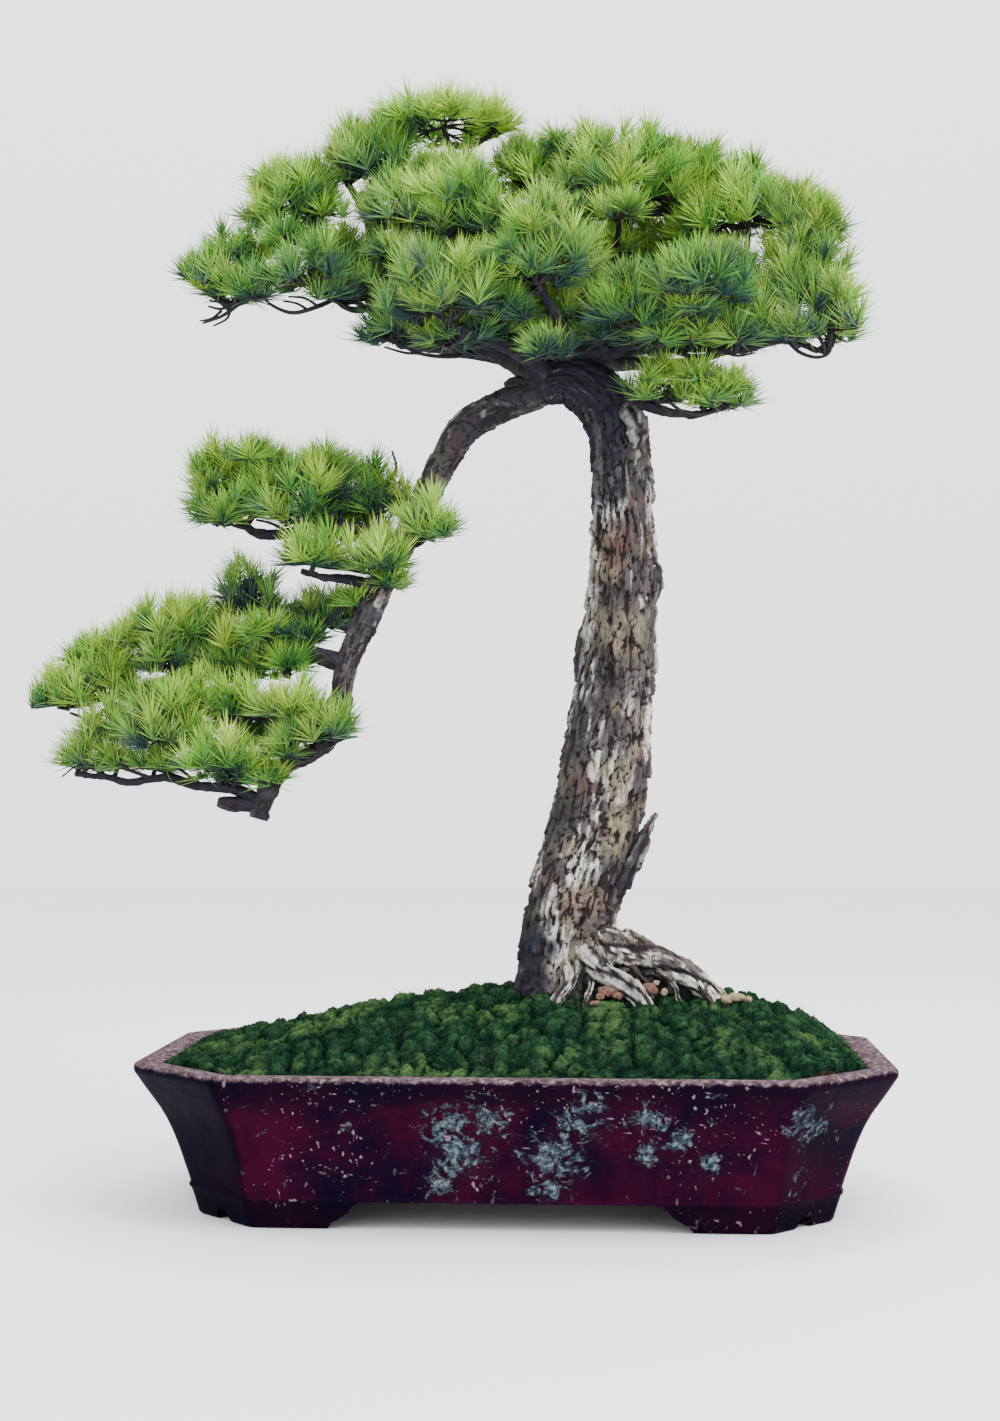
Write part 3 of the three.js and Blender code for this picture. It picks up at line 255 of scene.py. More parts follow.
# Dark bare twigs that curve out from under the foliage; part of their dark is painted shade
HANGING_TWIGS = [
    [(-364, -28, 1231, 3.6), (-383, -30, 1214, 3.2), (-405, -32, 1198, 2.6), (-431, -34, 1188, 1.6)],
    [(-383, -30, 1214, 2.4), (-398, -36, 1214, 2), (-420, -40, 1218, 1.4)],
    [(-245, -12, 1228, 3.4), (-272, -30, 1210, 3.2), (-306, -45, 1198, 2.8), (-332, -52, 1207, 2.2),
     (-345, -55, 1218, 1.5)],
    [(-272, -30, 1210, 2.4), (-289, -40, 1219, 2), (-310, -50, 1219, 1.4)],
    [(-54, -10, 1148, 4), (-92, -45, 1135, 3.4), (-128, -70, 1134, 2.8), (-159, -80, 1146, 2.2),
     (-183, -84, 1152, 1.4)],
    [(-128, -70, 1134, 2.4), (-147, -90, 1131, 2), (-173, -100, 1137, 1.4)],
    [(194, -45, 1146, 3.6), (233, -62, 1128, 3.2), (275, -70, 1131, 2.8), (315, -76, 1143, 2),
     (338, -80, 1146, 1.4)],
    [(275, -70, 1131, 2.2), (296, -80, 1123, 1.8), (319, -84, 1126, 1.2)],
    [(364, -50, 1149, 3.2), (379, -60, 1131, 2.8), (403, -64, 1123, 2.4), (418, -66, 1129, 2),
     (420, -66, 1148, 1.4)],
    [(204, -40, 1072, 3), (225, -50, 1055, 2.6), (255, -56, 1051, 2.2), (281, -60, 1062, 1.6)],
    [(-346, -40, 893, 3.4), (-374, -55, 913, 3), (-397, -62, 915, 2.4), (-419, -66, 928, 1.6)],
    [(-293, -45, 900, 3.2), (-315, -66, 922, 2.6), (-338, -74, 926, 2), (-356, -78, 937, 1.4)],
    [(-241, -30, 908, 3), (-263, -50, 929, 2.4), (-284, -56, 934, 1.6)],
    [(-194, -20, 927, 3.4), (-182, -18, 958, 2.8), (-166, -16, 988, 2.2), (-172, -14, 1013, 1.4)],
    [(-182, -18, 958, 2.2), (-196, -22, 982, 1.8), (-206, -26, 1005, 1.2)],
    [(-204, -48, 842, 3), (-242, -66, 848, 2.8), (-274, -78, 855, 2.4), (-292, -84, 875, 1.6)],
    [(-232, -40, 798, 2.8), (-261, -30, 779, 2.4), (-286, -22, 791, 2), (-304, -18, 808, 1.4)],
    [(-261, -30, 779, 2), (-278, -34, 770, 1.8), (-300, -36, 776, 1.2)],
    [(-555, -35, 664, 2.8), (-578, -52, 645, 2.4), (-604, -60, 653, 1.8)],
    [(-358, -60, 682, 3), (-393, -75, 668, 2.6), (-421, -82, 647, 2.2), (-439, -86, 633, 1.4)],
    [(-472, -92, 561, 3), (-495, -100, 569, 2.6), (-518, -104, 580, 2.2), (-526, -106, 601, 1.5)],
    [(-541, -88, 564, 2.8), (-563, -96, 577, 2.2), (-581, -100, 581, 1.8), (-602, -102, 566, 1.1)],
    [(-418, -94, 553, 3), (-437, -104, 572, 2.4), (-455, -108, 582, 1.8)],
    [(-247, -78, 608, 2.8), (-225, -90, 617, 2.4), (-208, -96, 619, 1.4)],
    [(-350, -28, 1238, 3), (-380, -30, 1222, 2.6), (-405, -32, 1208, 2.2), (-424, -32, 1212, 1.5)],
    [(-405, -32, 1206, 2.2), (-418, -30, 1196, 1.8), (-436, -30, 1192, 1.2)],
    [(-393, -30, 1208, 2), (-398, -28, 1196, 1.8), (-418, -26, 1186, 1.2)],
    [(-286, -36, 1204, 2.2), (-300, -40, 1212, 1.8), (-318, -46, 1214, 1.3)],
    [(-340, -45, 900, 2.8), (-372, -55, 903, 2.6), (-404, -60, 914, 2.2), (-436, -62, 921, 1.4)],
    [(-372, -55, 903, 2.2), (-392, -60, 922, 1.8), (-408, -64, 934, 1.2)],
    [(-310, -45, 897, 2.4), (-330, -60, 908, 2.2), (-350, -66, 912, 1.6)],
    [(-188, -45, 840, 3.2), (-228, -50, 846, 2.8), (-268, -56, 850, 2.4), (-298, -60, 858, 1.4)],
    [(-430, -88, 560, 2.8), (-462, -92, 571, 2.4), (-500, -96, 582, 1.6)],
]
# Painted shade that darkens a pad more than the rest, or its whole region; below zero, painted light
PAD_SHADE = {
    "crown_pad_01": -0.42, "crown_pad_03": -0.1, "crown_pad_14": -0.1, "crown_pad_15": -0.06,
    "crown_pad_18": 0.16, "crown_pad_20": 0.1, "crown_pad_09": 0.14, "crown_pad_16": 0.1,
    "cascade_pad_01": -0.14, "cascade_pad_02": -0.12, "cascade_pad_03": 0.16, "cascade_pad_06": -0.1,
    "cascade_pad_07": 0.22, "cascade_pad_08": 0.26, "cascade_pad_20": 0.2,
}
REGION_SHADE = {"crown": 0.0, "cascade": -0.06}
# Sunlit and shaded places in the crown: x, z, radius, how much lighter
LIGHT_PATCHES = [
    (-20, 1450, 75, 0.34), (-125, 1340, 62, 0.18), (-265, 1335, 58, -0.2), (265, 1340, 105, 0.3),
    (60, 1335, 50, -0.18), (145, 1345, 60, 0.12), (-105, 1280, 60, -0.24), (300, 1262, 62, -0.28),
    (378, 1212, 52, -0.24), (462, 1205, 52, 0.2), (240, 1090, 105, 0.42), (-415, 1215, 70, 0.1),
    (222, 1262, 42, -0.2), (-187, 1402, 45, -0.18), (-160, 1298, 40, -0.1), (20, 1215, 80, 0.07),
    (-238, 1232, 42, -0.14), (-200, 1196, 42, -0.16), (41, 1128, 46, -0.14), (170, 1390, 60, 0.1),
]
# A pad's depth as a share of its length
PAD_DEPTH = 0.86
# Heights over which painted shade darkens needles low in the crown, from where on they count as
# crown, and from where down as cascade
LEVELS = {"low": (1235, 1145), "crown": (1000, 1060), "cascade": (1000, 940)}
# Branchlets: radius at the pad; at the limb they are thicker by the span over "slender", up to
# "thicker". They end "heart" above the pad's underside, and twigs leave a hub "hub" further on. A
# limb that ends within "limb_end" of that end needs none.
BRANCHLET = {"radius": 3.4, "thicker": 3.4, "slender": 26, "heart": 6, "hub": 11, "limb_end": 24}
# Radii along a pad's stem, along the arms that fork from its hub, and along the twigs
TWIG_RADII = {"stem": (3.3, 3.2, 2.8), "arm": (2.6, 2.2, 1.8), "twig": (1.5, 1.25, 1.1, 0.7)}
# A pad with fewer than "from" shoots has the smaller number of arms
ARMS = {"few": 5, "many": 7, "from": 40}
SEEDS = {"branchlets": 41, "needles": 7, "stones": 60}

# The trunk's list turns into the cascading limb at this point, where the limb starts this thick
TRUNK_BEND = 17
CASCADE_START = 24
# So many of its points stand below the arch
TRUNK_UPRIGHT = 15
# Heights over which painted shade darkens the trunk: on the arch under the crown, at the left under
# it, higher up its sides, and down to the foot
TRUNK_SHADE = {"arch": (1035, 1075), "left": (922, 944), "side": (925, 965), "foot": (382, 326)}
# Sides of each tube, and the spacing of its rings
TRUNK_MESH = {"sides": 156, "spacing": 2.6}
CASCADE_MESH = {"sides": 44, "spacing": 3.2}
LIMB_MESH = {"sides": 16, "spacing": 5.0}
ROOT_MESH = {"sides": 48, "spacing": 3.4}
SLAB_MESH = {"sides": 22, "spacing": 2.6}
ROOTLET_MESH = {"sides": 14, "spacing": 3.5}
BRANCHLET_MESH = {"sides": 7, "spacing": 8.0}
THIN_MESH = {"sides": 6, "spacing": 6.0}
ARM_MESH = {"sides": 5, "spacing": 9.0}
# Bark: width and height of a plate, its relief, and the salt of its random numbers
BARK = {
    "trunk": (9.5, 42, 0.95, 3), "limb": (9, 20, 0.42, 8), "side": (7.5, 16, 0.26, 12),
    "root": (8, 30, 0.6),
}

# Pot: its base, how far the rim stands out past it, the corners' rounding and its steps, the bevel
# of edges sharper than so many degrees, the angle that stays a hard edge, and how many pieces an end
# wall, a cut corner, a long wall and again a cut corner are divided into
POT = {
    "length": 820, "width": 424, "base_chamfer": 84, "rim_chamfer": 127, "spread": 79,
    "corner": 10, "steps": 6, "bevel": 2.2, "bevel_from": 42, "hard_from": 35,
    "pieces": (24, 8, 52, 8),
}
# How far the outline stands out from the base's at each height, outside and inside
POT_OUTSIDE = [
    (0, -3), (3, 0), (12, 2.5), (24, 6), (33, 9), (36, 11.5), (38, 12.2), (40, 11.8), (42, 10.2),
    (52, 13), (64, 17), (77, 21), (92, 26), (108, 32), (124, 39), (139, 47), (151, 55), (163, 63),
    (174, 70), (182, 75), (185, 77), (188, 78.4), (192, 78.8), (195, 78.4), (197.4, 77), (198, 74),
    (198, 58), (197, 48), (195, 44), (191, 42.6),
]
POT_INSIDE = [(180, 42), (150, 35), (118, 21), (85, 7), (60, -3), (54, -8)]
# Its floor, and how far in from the base's outline the hollow under it begins
POT_FLOOR = {"top": 54, "underside": 36, "foot": 24}
# Openings between the feet: distance from the middle and height of the right half
LONG_OPENING = [(228, -1), (227, 3), (222, 9), (212, 14), (203, 20), (197, 28), (190, 34), (180, 36)]
SHORT_OPENING = [(92, -1), (91, 3), (87, 9), (80, 14), (74, 20), (70, 28), (65, 34), (58, 36)]
# A half-round notch under each cut corner
NOTCH = {"radius": 15, "depth": 60, "below": 4}
DRAIN = {"diameter": 30, "x": 205, "reach": 20}
RIM_HEIGHT = 198

# Mound of soil, the moss on it, and the moss's cushions: width, swell and salt of three sizes
MOUND = {
    "edge": 181, "crest": 84, "end_x": 452, "end_y": 254, "left": 1.5, "right": 5.1, "across": 2.2,
}
MOSS = {"thick": 13, "columns": 284, "rows": 148, "outward": 41.6, "bottom": 168}
CUSHIONS = [(48.0, 13.0, 3.0), (23.0, 6.0, 11.0), (9.0, 2.6, 19.0)]

# Short stems on the moss: how many, their length, their radius and the corners of their feet
MOSS_STEMS = {
    "count": 11500, "length": (3.0, 7.5), "radius": 0.95, "outward": 38, "turns": (0.0, 2.1, 4.2),
}

# Shoots and needles: their spread goes from wide at the foot to narrow at the tip
SHOOT = {"reach": 48, "stem": (8, 24), "needles": 33, "spread": (1.3, 0.2)}
NEEDLE = {
    "length": 38, "vary": 8, "radius": 1.3, "turns": (0.0, 2 * math.pi / 3, 4 * math.pi / 3),
}
SHOOT_SPACING = 25.0
# Needles stay this far inside the object's box
BOX_MARGIN = 1.5
# How far the needles' tips stand out past a pad's half length and its height
PAD_GROWTH = {"side": 11, "top": 12}

# Slabs of loose bark on the trunk, fine roots under the thick one to the right, and how much painted
# shade these carry: the first two rootlets, in the shade under that root, carry the most
BARK_SLABS = [
    [(124, -14, 404, 15), (150, -20, 446, 13), (170, -20, 486, 9), (187, -18, 518, 2.5)],
    [(174, -8, 786, 5), (184, -12, 816, 11), (187, -12, 842, 10), (176, -10, 872, 4)],
    [(84, -8, 676, 6), (75, -10, 650, 8), (70, -12, 622, 2.5)],
    [(106, -16, 806, 4), (93, -20, 768, 8), (86, -22, 728, 9), (80, -20, 694, 3)],
    [(148, -18, 1066, 14), (156, -32, 1048, 18), (161, -36, 1028, 15), (160, -34, 1008, 7)],
]
ROOTLETS = [
    [(110, 0, 310, 20), (150, -4, 300, 18), (192, -12, 290, 16), (232, -22, 276, 13),
     (262, -32, 256, 9)],
    [(96, -24, 312, 13), (112, -44, 290, 11), (134, -54, 272, 9), (150, -58, 256, 7)],
    [(150, -44, 318, 4), (166, -56, 302, 3.4), (176, -60, 286, 3), (180, -64, 268, 2.4)],
    [(186, -46, 308, 3.6), (206, -64, 296, 3), (214, -70, 278, 2.6), (220, -72, 262, 2)],
    [(120, -40, 316, 5), (132, -58, 300, 3.6), (150, -60, 288, 3), (160, -62, 270, 2.4)],
    [(100, -52, 300, 5), (98, -76, 284, 4), (92, -92, 272, 3), (90, -100, 256, 2.4)],
    [(236, -46, 292, 4), (246, -62, 282, 3.2), (258, -70, 268, 2.6), (262, -74, 254, 2)],
]
LOOSE_PAINTED_SHADE = {"slab": 0.62, "shaded": 0.8, "open": 0.1}
# Stones by the roots: dark and pale colour, then x, y, z and half sizes of each
PEBBLES = {
    "pink_stones": (
        (0.040, 0.020, 0.015), (0.23, 0.125, 0.088),
        [(124, -74, 285, 16, 11, 9), (148, -62, 286, 12, 10, 7), (178, -60, 286, 11, 8, 9),
         (106, -96, 270, 9, 7, 5), (136, -84, 279, 8, 7, 6), (164, -70, 281, 9, 7, 6),
         (158, -52, 294, 7, 6, 6), (112, -84, 278, 7, 7, 5)],
    ),
    "pale_bits": (
        (0.10, 0.070, 0.040), (0.36, 0.29, 0.18),
        [(196, -66, 283, 5, 5, 6), (292, -56, 275, 13, 8, 7), (278, -62, 273, 8, 7, 6),
         (306, -50, 272, 7, 6, 5), (186, -62, 294, 5, 4, 4)],
    ),
}
# Crust on the glaze: places on the wall, and how far each spreads
CRUST_PATCHES = [
    (-78, -258, 136, 46), (-62, -240, 96, 58), (-84, -228, 60, 34), (-30, -262, 150, 48),
    (58, -240, 100, 60), (88, -262, 142, 50), (104, -276, 166, 34), (52, -226, 56, 34),
    (172, -268, 152, 38), (206, -250, 122, 36), (172, -243, 104, 27), (250, -238, 92, 26),
    (354, -250, 152, 38), (376, -234, 128, 34), (366, -215, 60, 32),
    (-150, 262, 140, 60), (-120, 240, 84, 50), (60, 258, 128, 56), (240, 246, 104, 58),
    (470, 40, 130, 54), (448, -60, 76, 36), (-462, 30, 110, 56), (-440, -110, 70, 30),
]

FLOOR = {"half": 9000, "below": 0.5}
SKY = {"horizon": (0.97, 0.985, 1.0), "zenith": (1.25, 1.28, 1.32), "strength": 2.35}
# Softboxes: place, size in metres, power in watts, all aimed at the same place
LIGHTS = {
    "key": ((1900, -1500, 3000), 1.6, 150),
    "top": ((200, 300, 3300), 2.0, 60),
    "fill": ((-2400, -2200, 1400), 2.0, 14),
}
LIGHT_TARGET = (0, 0, 700)
CAMERA = {"place": (139.67, -2686.48, 547), "azimuth": 3.5, "pitch": 2.34, "lens": 50, "clip": 100}


def smoothstep(low, high, value):
    """0 up to low and 1 from high on, with a smooth rise, or fall if high is the lower."""
    share = np.clip((value - low) / (high - low), 0, 1)
    return share * share * (3 - 2 * share)


def hashed(total):
    """A repeatable number from 0 to 1 for each total."""
    wave = np.sin(total) * 43758.5453
    return wave - np.floor(wave)


def cell_random(i, j, salt):
    """A repeatable number from 0 to 1 for one cell of a grid."""
    return hashed(i * 127.1 + j * 311.7 + salt * 74.7)


def smooth_noise(places, size, salt=0.0):
    """Smooth noise from 0 to 1 whose lumps are of this size."""
    spot = places / size
    low = np.floor(spot)
    mix = spot - low
    mix = mix * mix * (3 - 2 * mix)
    total = np.zeros(spot.shape[:-1])
    for corner in np.ndindex(2, 2, 2):
        weight = np.prod(np.where(corner, mix, 1 - mix), axis=-1)
        total += weight * hashed((low + corner) @ (127.1, 311.7, 191.3) + salt * 74.7)
    return total


def rough_noise(places, size, salt=0.0, octaves=3):
    """Smooth noise with finer noise on it."""
    total, weight = 0, 0
    for octave in range(octaves):
        share = 0.55**octave
        total = total + share * smooth_noise(places, size / 2.1**octave, salt + 3.1 * octave)
        weight += share
    return total / weight


def cells(across, along, wrap, salt, jitter=0.8):
    """Irregular cells: how far inside its cell's border each place is, the cell's own number from 0
    to 1, and the place measured from the cell's middle."""
    column, row = np.floor(across), np.floor(along)
    first = np.full(across.shape, 9.0)
    second = first.copy()
    number, sideways, lengthwise = (np.zeros(across.shape) for _ in range(3))
    for i in (-1, 0, 1):
        for j in (-1, 0, 1):
            c, r = column + i, row + j
            key = np.mod(c, wrap) if wrap else c
            off_x = across - c - 0.5 - jitter * (cell_random(key, r, salt) - 0.5)
            off_y = along - r - 0.5 - jitter * (cell_random(key, r, salt + 1) - 0.5)
            distance = np.hypot(off_x, off_y)
            nearer = distance < first
            second = np.where(nearer, first, np.minimum(second, distance))
            number = np.where(nearer, cell_random(key, r, salt + 2), number)
            sideways = np.where(nearer, off_x, sideways)
            lengthwise = np.where(nearer, off_y, lengthwise)
            first = np.where(nearer, distance, first)
    return second - first, number, sideways, lengthwise


def add_object(name, data):
    made = bpy.data.objects.new(name, data)
    bpy.context.scene.collection.objects.link(made)
    return made


def make_piece(name, parts, material, nodes=(), smooth=True):
    """One mesh of closed parts, riding on the root body. A part is its points in millimetres, its
    faces of four and of three corners, and, but for stones, its masks: four numbers a point, which
    bark, needles and moss read."""
    points = np.concatenate([part[0] for part in parts])
    starts = np.cumsum([0, *[len(part[0]) for part in parts]])[:-1]
    corners, sizes = [], []
    for k, size in ((1, 4), (2, 3)):
        for part, start in zip(parts, starts, strict=True):
            corners.append(np.asarray(part[k], int).ravel() + start)
            sizes.append(np.full(len(corners[-1]) // size, size))
    corners, sizes = (np.concatenate(a).astype(np.int32) for a in (corners, sizes))
    mesh = bpy.data.meshes.new(name)
    mesh.vertices.add(len(points))
    mesh.vertices.foreach_set("co", (points * MM + ORIGIN).astype(np.float32).ravel())
    mesh.loops.add(len(corners))
    mesh.loops.foreach_set("vertex_index", corners)
    mesh.polygons.add(len(sizes))
    mesh.polygons.foreach_set("loop_start", (np.cumsum(sizes) - sizes).astype(np.int32))
    mesh.update(calc_edges=True)
    mesh.polygons.foreach_set("use_smooth", np.full(len(sizes), smooth))
    if len(parts[0]) > 3:
        masks = np.concatenate([part[3] for part in parts])
        layer = mesh.color_attributes.new("masks", "FLOAT_COLOR", "POINT")
        layer.data.foreach_set("color", masks.astype(np.float32).ravel())
    mesh.materials.append(material)
    piece = add_object(name, mesh)
    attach(piece, "root")
    for node in nodes:
        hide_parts(node)


def unit(vectors):
    return vectors / np.linalg.norm(vectors, axis=-1, keepdims=True)


def across_of(axes):
    """Two directions square to each axis and to each other."""
    helper = np.where(np.abs(axes[:, 2:]) > 0.9, [[1.0, 0, 0]], [[0, 0, 1.0]])
    first = unit(np.cross(axes, helper))
    return first, np.cross(axes, first)


# Curves and tubes
def curve_points(places, at):
    """Points of the centripetal Catmull-Rom curve through the places, at these counts of places."""
    p = np.vstack([2 * places[0] - places[1], places, 2 * places[-1] - places[-2]])
    index = np.clip(np.floor(at).astype(int), 0, len(places) - 2)
    p0, p1, p2, p3 = (p[index + k] for k in range(4))
    d0, d1, d2 = (
        np.sqrt(np.linalg.norm(b - a, axis=1))[:, None] for a, b in ((p0, p1), (p1, p2), (p2, p3))
    )
    m1 = ((p1 - p0) / d0 - (p2 - p0) / (d0 + d1) + (p2 - p1) / d1) * d1
    m2 = ((p2 - p1) / d1 - (p3 - p1) / (d1 + d2) + (p3 - p2) / d2) * d1
    t = (at - index)[:, None]
    return (
        (2 * t**3 - 3 * t**2 + 1) * p1
        + (t**3 - 2 * t**2 + t) * m1
        + (3 * t**2 - 2 * t**3) * p2
        + (t**3 - t**2) * m2
    )


def smooth_line(points, spacing):
    """Evenly spaced centres and radii along the curve through [x, y, z, radius] points."""
    points = np.array(points, float)
    fine = np.linspace(0, len(points) - 1, 40 * (len(points) - 1) + 1)
    dense = curve_points(points[:, :3], fine)
    run = np.concatenate([[0], np.cumsum(np.linalg.norm(np.diff(dense, axis=0), axis=1))])
    even = np.linspace(0, run[-1], max(3, round(run[-1] / spacing) + 1))
    centres = np.stack([np.interp(even, run, dense[:, k]) for k in range(3)], axis=1)
    radii = np.interp(np.interp(even, run, fine), np.arange(len(points)), points[:, 3])
    return centres, radii, even


def spokes(centres, sides):
    """Directions out from the line at each of its points, turning as little as they can along it."""
    tangents = unit(np.gradient(centres, axis=0))
    normals = np.empty_like(tangents)
    normal = np.array([1.0, 0.0, 0.01])
    if abs(tangents[0] @ normal) > 0.9:
        normal = np.array([0.0, 1.0, 0.01])
    for i, tangent in enumerate(tangents):
        normal = unit(normal - (normal @ tangent) * tangent)
        normals[i] = normal
    across = np.cross(tangents, normals)
    angle = 2 * math.pi * np.arange(sides)[:, None] / sides
    return normals[:, None] * np.cos(angle) + across[:, None] * np.sin(angle)


def skin(sides, rings):
    """Faces round a stack of rings, and fans that close it on two points that follow its last ring."""
    i, ring = np.meshgrid(np.arange(sides), np.arange(rings - 1))
    a, b = ring * sides + i, ring * sides + (i + 1) % sides
    quads = np.stack([a, b, b + sides, a + sides], axis=-1).reshape(-1, 4)
    side = np.arange(sides)
    following = (side + 1) % sides
    last, centre = (rings - 1) * sides, rings * sides + 0 * side
    fans = [[centre, following, side], [centre + 1, last + side, last + following]]
    return quads, np.concatenate([np.stack(fan, axis=-1) for fan in fans])


def tube(points, sides, spacing, bark=None, masks=(0.5, 0, 0.5, 0)):
    """A closed tube along the points, with bark(places, turn, run, radius) raised on it."""
    centres, radii, run = smooth_line(points, spacing)
    outward = spokes(centres, sides)
    surface = centres[:, None] + outward * radii[:, None, None]
    look = np.broadcast_to(np.array(masks, float), (*surface.shape[:2], 4))
    if bark:
        turn = np.broadcast_to(np.arange(sides) / sides, surface.shape[:2])
        height, look = bark(surface, turn, run[:, None] + 0 * turn, radii[:, None] + 0 * turn)
        surface = surface + outward * height[..., None]
    places = np.concatenate([surface.reshape(-1, 3), centres[[0, -1]]])
    look = np.concatenate([look.reshape(-1, 4), look[[0, -1], 0]])
    return places, *skin(sides, len(centres)), look


def twig(places, radii):
    """A closed three-sided twig through the places."""
    places, radii = np.array(places), np.array(radii)
    rings = places[:, None] + radii[:, None, None] * spokes(places, 3)
    last = 3 * (len(places) - 1)
    ends = [(0, 2, 1), (last, last + 1, last + 2)]
    look = np.tile([0.5, 0.1, 0.5, 0.75], (last + 3, 1))
    return rings.reshape(-1, 3), skin(3, len(places))[0], ends, look


def spikes(foot, way, length, radius, turns):
    """Slim closed spikes with three-cornered feet, each along its way."""
    side, other = across_of(way)
    corners = [foot + radius * (side * math.cos(a) + other * math.sin(a)) for a in turns]
    points = np.stack([*corners, foot + way * length[:, None]], axis=1).reshape(-1, 3)
    first = 4 * np.arange(len(foot))[:, None]
    faces = np.concatenate([first + c for c in ([0, 1, 3], [1, 2, 3], [2, 0, 3], [0, 2, 1])])
    return points, [], faces


def flaky_bark(width, height, relief, salt, dark):
    """Ragged plates about width by height under smaller flakes, split by long cracks. Its masks are
    the flake's tone, how deep in a crack, the tone of the patch round it and the painted shade on the
    bark."""

    def raise_bark(places, turn, run, radius):
        reach = float(np.mean(radius))
        around = max(5, round(2 * math.pi * reach / width))
        angle = 2 * math.pi * turn
        spot = np.stack([reach * np.cos(angle), reach * np.sin(angle), run / 3], axis=-1)
        wander = rough_noise(spot, 1.6 * width, salt) - 0.5
        drift = rough_noise(spot, 1.9 * width, salt + 9) - 0.5
        fray = rough_noise(spot, 0.7 * width, salt + 13, 2) - 0.5
        border, tone, sideways, lengthwise = cells(
            turn * around + 2.2 * wander + 0.9 * fray, run / height + 2 * drift, around, salt, 1.0
        )
        small_border, small_tone, _, small_length = cells(
            2 * turn * around + 2.8 * wander + 1.6 * fray,
            run / (0.36 * height) + 2.4 * drift + 0.8 * fray, 2 * around, salt + 3, 1.0
        )
        strands = rough_noise(spot * [1, 1, 0.45], 0.42 * width, salt + 41, 2)
        crack = 1 - smoothstep(0.0, 0.05, np.abs(rough_noise(spot, 2.3 * width, salt + 21) - 0.5))
        patch = rough_noise(spot, 4.5 * width, salt + 31)
        plate = smoothstep(0.01, 0.17, border)
        flake = smoothstep(0.0, 0.16, small_border)
        raised = (
            3.2 * plate * (0.2 + tone)
            + 2.0 * plate * flake * (0.2 + small_tone)
            - 3.4 * plate * lengthwise
            - 1.6 * flake * small_length
            + 1.6 * plate * sideways
            + 2.4 * (strands - 0.5)
            - 2.6 * crack
            + 5.0 * (patch - 0.5)
            + 3.0 * smoothstep(0.86, 0.92, tone) * plate
            - 3.0
        )
        depth = 1 - plate * (0.5 + 0.5 * flake)
        depth = np.maximum(depth, 0.85 * crack) + 0.55 * (0.4 - small_tone) + 1.1 * (0.42 - strands)
        tone = 0.34 * tone + 0.3 * small_tone + 0.36 * smoothstep(0.2, 0.8, strands)
        look = [tone, np.clip(depth, 0, 1), patch, dark(places)]
        return relief * raised, np.stack(look, axis=-1)

    return raise_bark


def trunk_painted_shade(places):
    """Painted shade: dark on the arch under the crown, on the left of the trunk just under it, and low
    on the left of its foot, and somewhat dark up its left side and higher up.
    """
    middle, heights = np.array(TRUNK[:TRUNK_UPRIGHT])[:, [0, 2]].T
    aside = places[..., 0] - np.interp(places[..., 2], heights, middle)
    rough = 40 * (smooth_noise(places, 26, 4) - 0.5)
    arch_shade = smoothstep(*TRUNK_SHADE["arch"], places[..., 2] + rough)
    left = smoothstep(16, -4, aside + rough / 3)
    back = smoothstep(-5, 22, places[..., 1])
    edge = places[..., 2] + rough * (0.5 + 2 * back)
    low, high = TRUNK_SHADE["left"]
    under_arch = left * smoothstep(low - 60 * back, high + 90 * back, edge)
    foot = smoothstep(4, -24, aside + rough / 2)
    foot *= smoothstep(*TRUNK_SHADE["foot"], places[..., 2] + rough)
    low, high = TRUNK_SHADE["side"]
    side = 0.3 * smoothstep(-14, -44, aside) + 0.52 * smoothstep(low, high + 70 * back, edge)
    return np.clip(0.06 + side + 0.95 * np.maximum(np.maximum(arch_shade, under_arch), foot), 0, 1)


def gnarled_root(salt, dark=0.0, pale=0.0):
    """Ridges that run along a root, under finer flakes."""
    # The root's painted shade, made a little uneven
    flakes = flaky_bark(*BARK["root"], salt, lambda p: dark + 0.3 * smooth_noise(p, 30, salt))

    def raise_bark(places, turn, run, radius):
        raised, look = flakes(places, turn, run, radius)
        twist = run / 210 + 0.3 * (smooth_noise(places, 40, salt) - 0.5)
        ridge = np.abs(np.sin(math.pi * (4 * turn + 2 * twist))) ** 0.7
        second = np.sin(2 * math.pi * (3 * turn - twist + 0.2))
        lumps = rough_noise(places, 26, salt + 2) - 0.5
        raised = raised + radius * (0.3 * (ridge - 0.6) + 0.08 * second + 0.4 * lumps)
        look[..., 1] = np.clip(look[..., 1] * 0.7 + 0.9 * (1 - ridge) ** 2, 0, 1)
        look[..., 2] += 0.25 * ridge + pale
        return raised, look

    return raise_bark


# Branchlets: each pad hangs on one that leaves the nearest limb
def random_source(seed):
    """Repeatable numbers from 0 to 1."""
    state = seed
    while True:
        state = (state * 1664525 + 1013904223) % 4294967296
        yield state / 4294967296


def nearest_on_wood(target, branches):
    """The nearest place on a limb, rather below than above, with its direction there, and whether
    that place is the limb's tip."""
    best = None
    for branch in branches:
        places = np.array(branch, float)[:, :3]
        steps = 6 * (len(branch) - 1)
        at = np.arange(1, steps + 1) / 6
        points = curve_points(places, at)
        distance = np.linalg.norm(points - target, axis=1)
        distance = distance + 0.6 * np.maximum(0, points[:, 2] - target[2])
        i = int(np.argmin(distance))
        if best is None or distance[i] < best[0] - 1e-9:
            near = np.clip([at[i] - 1e-3, at[i] + 1e-3], 0, len(branch) - 1)
            ends = curve_points(places, near)
            tangent = (ends[1] - ends[0]) / np.linalg.norm(ends[1] - ends[0])
            best = (distance[i], points[i], tangent, i == steps - 1)
    return best[1:]


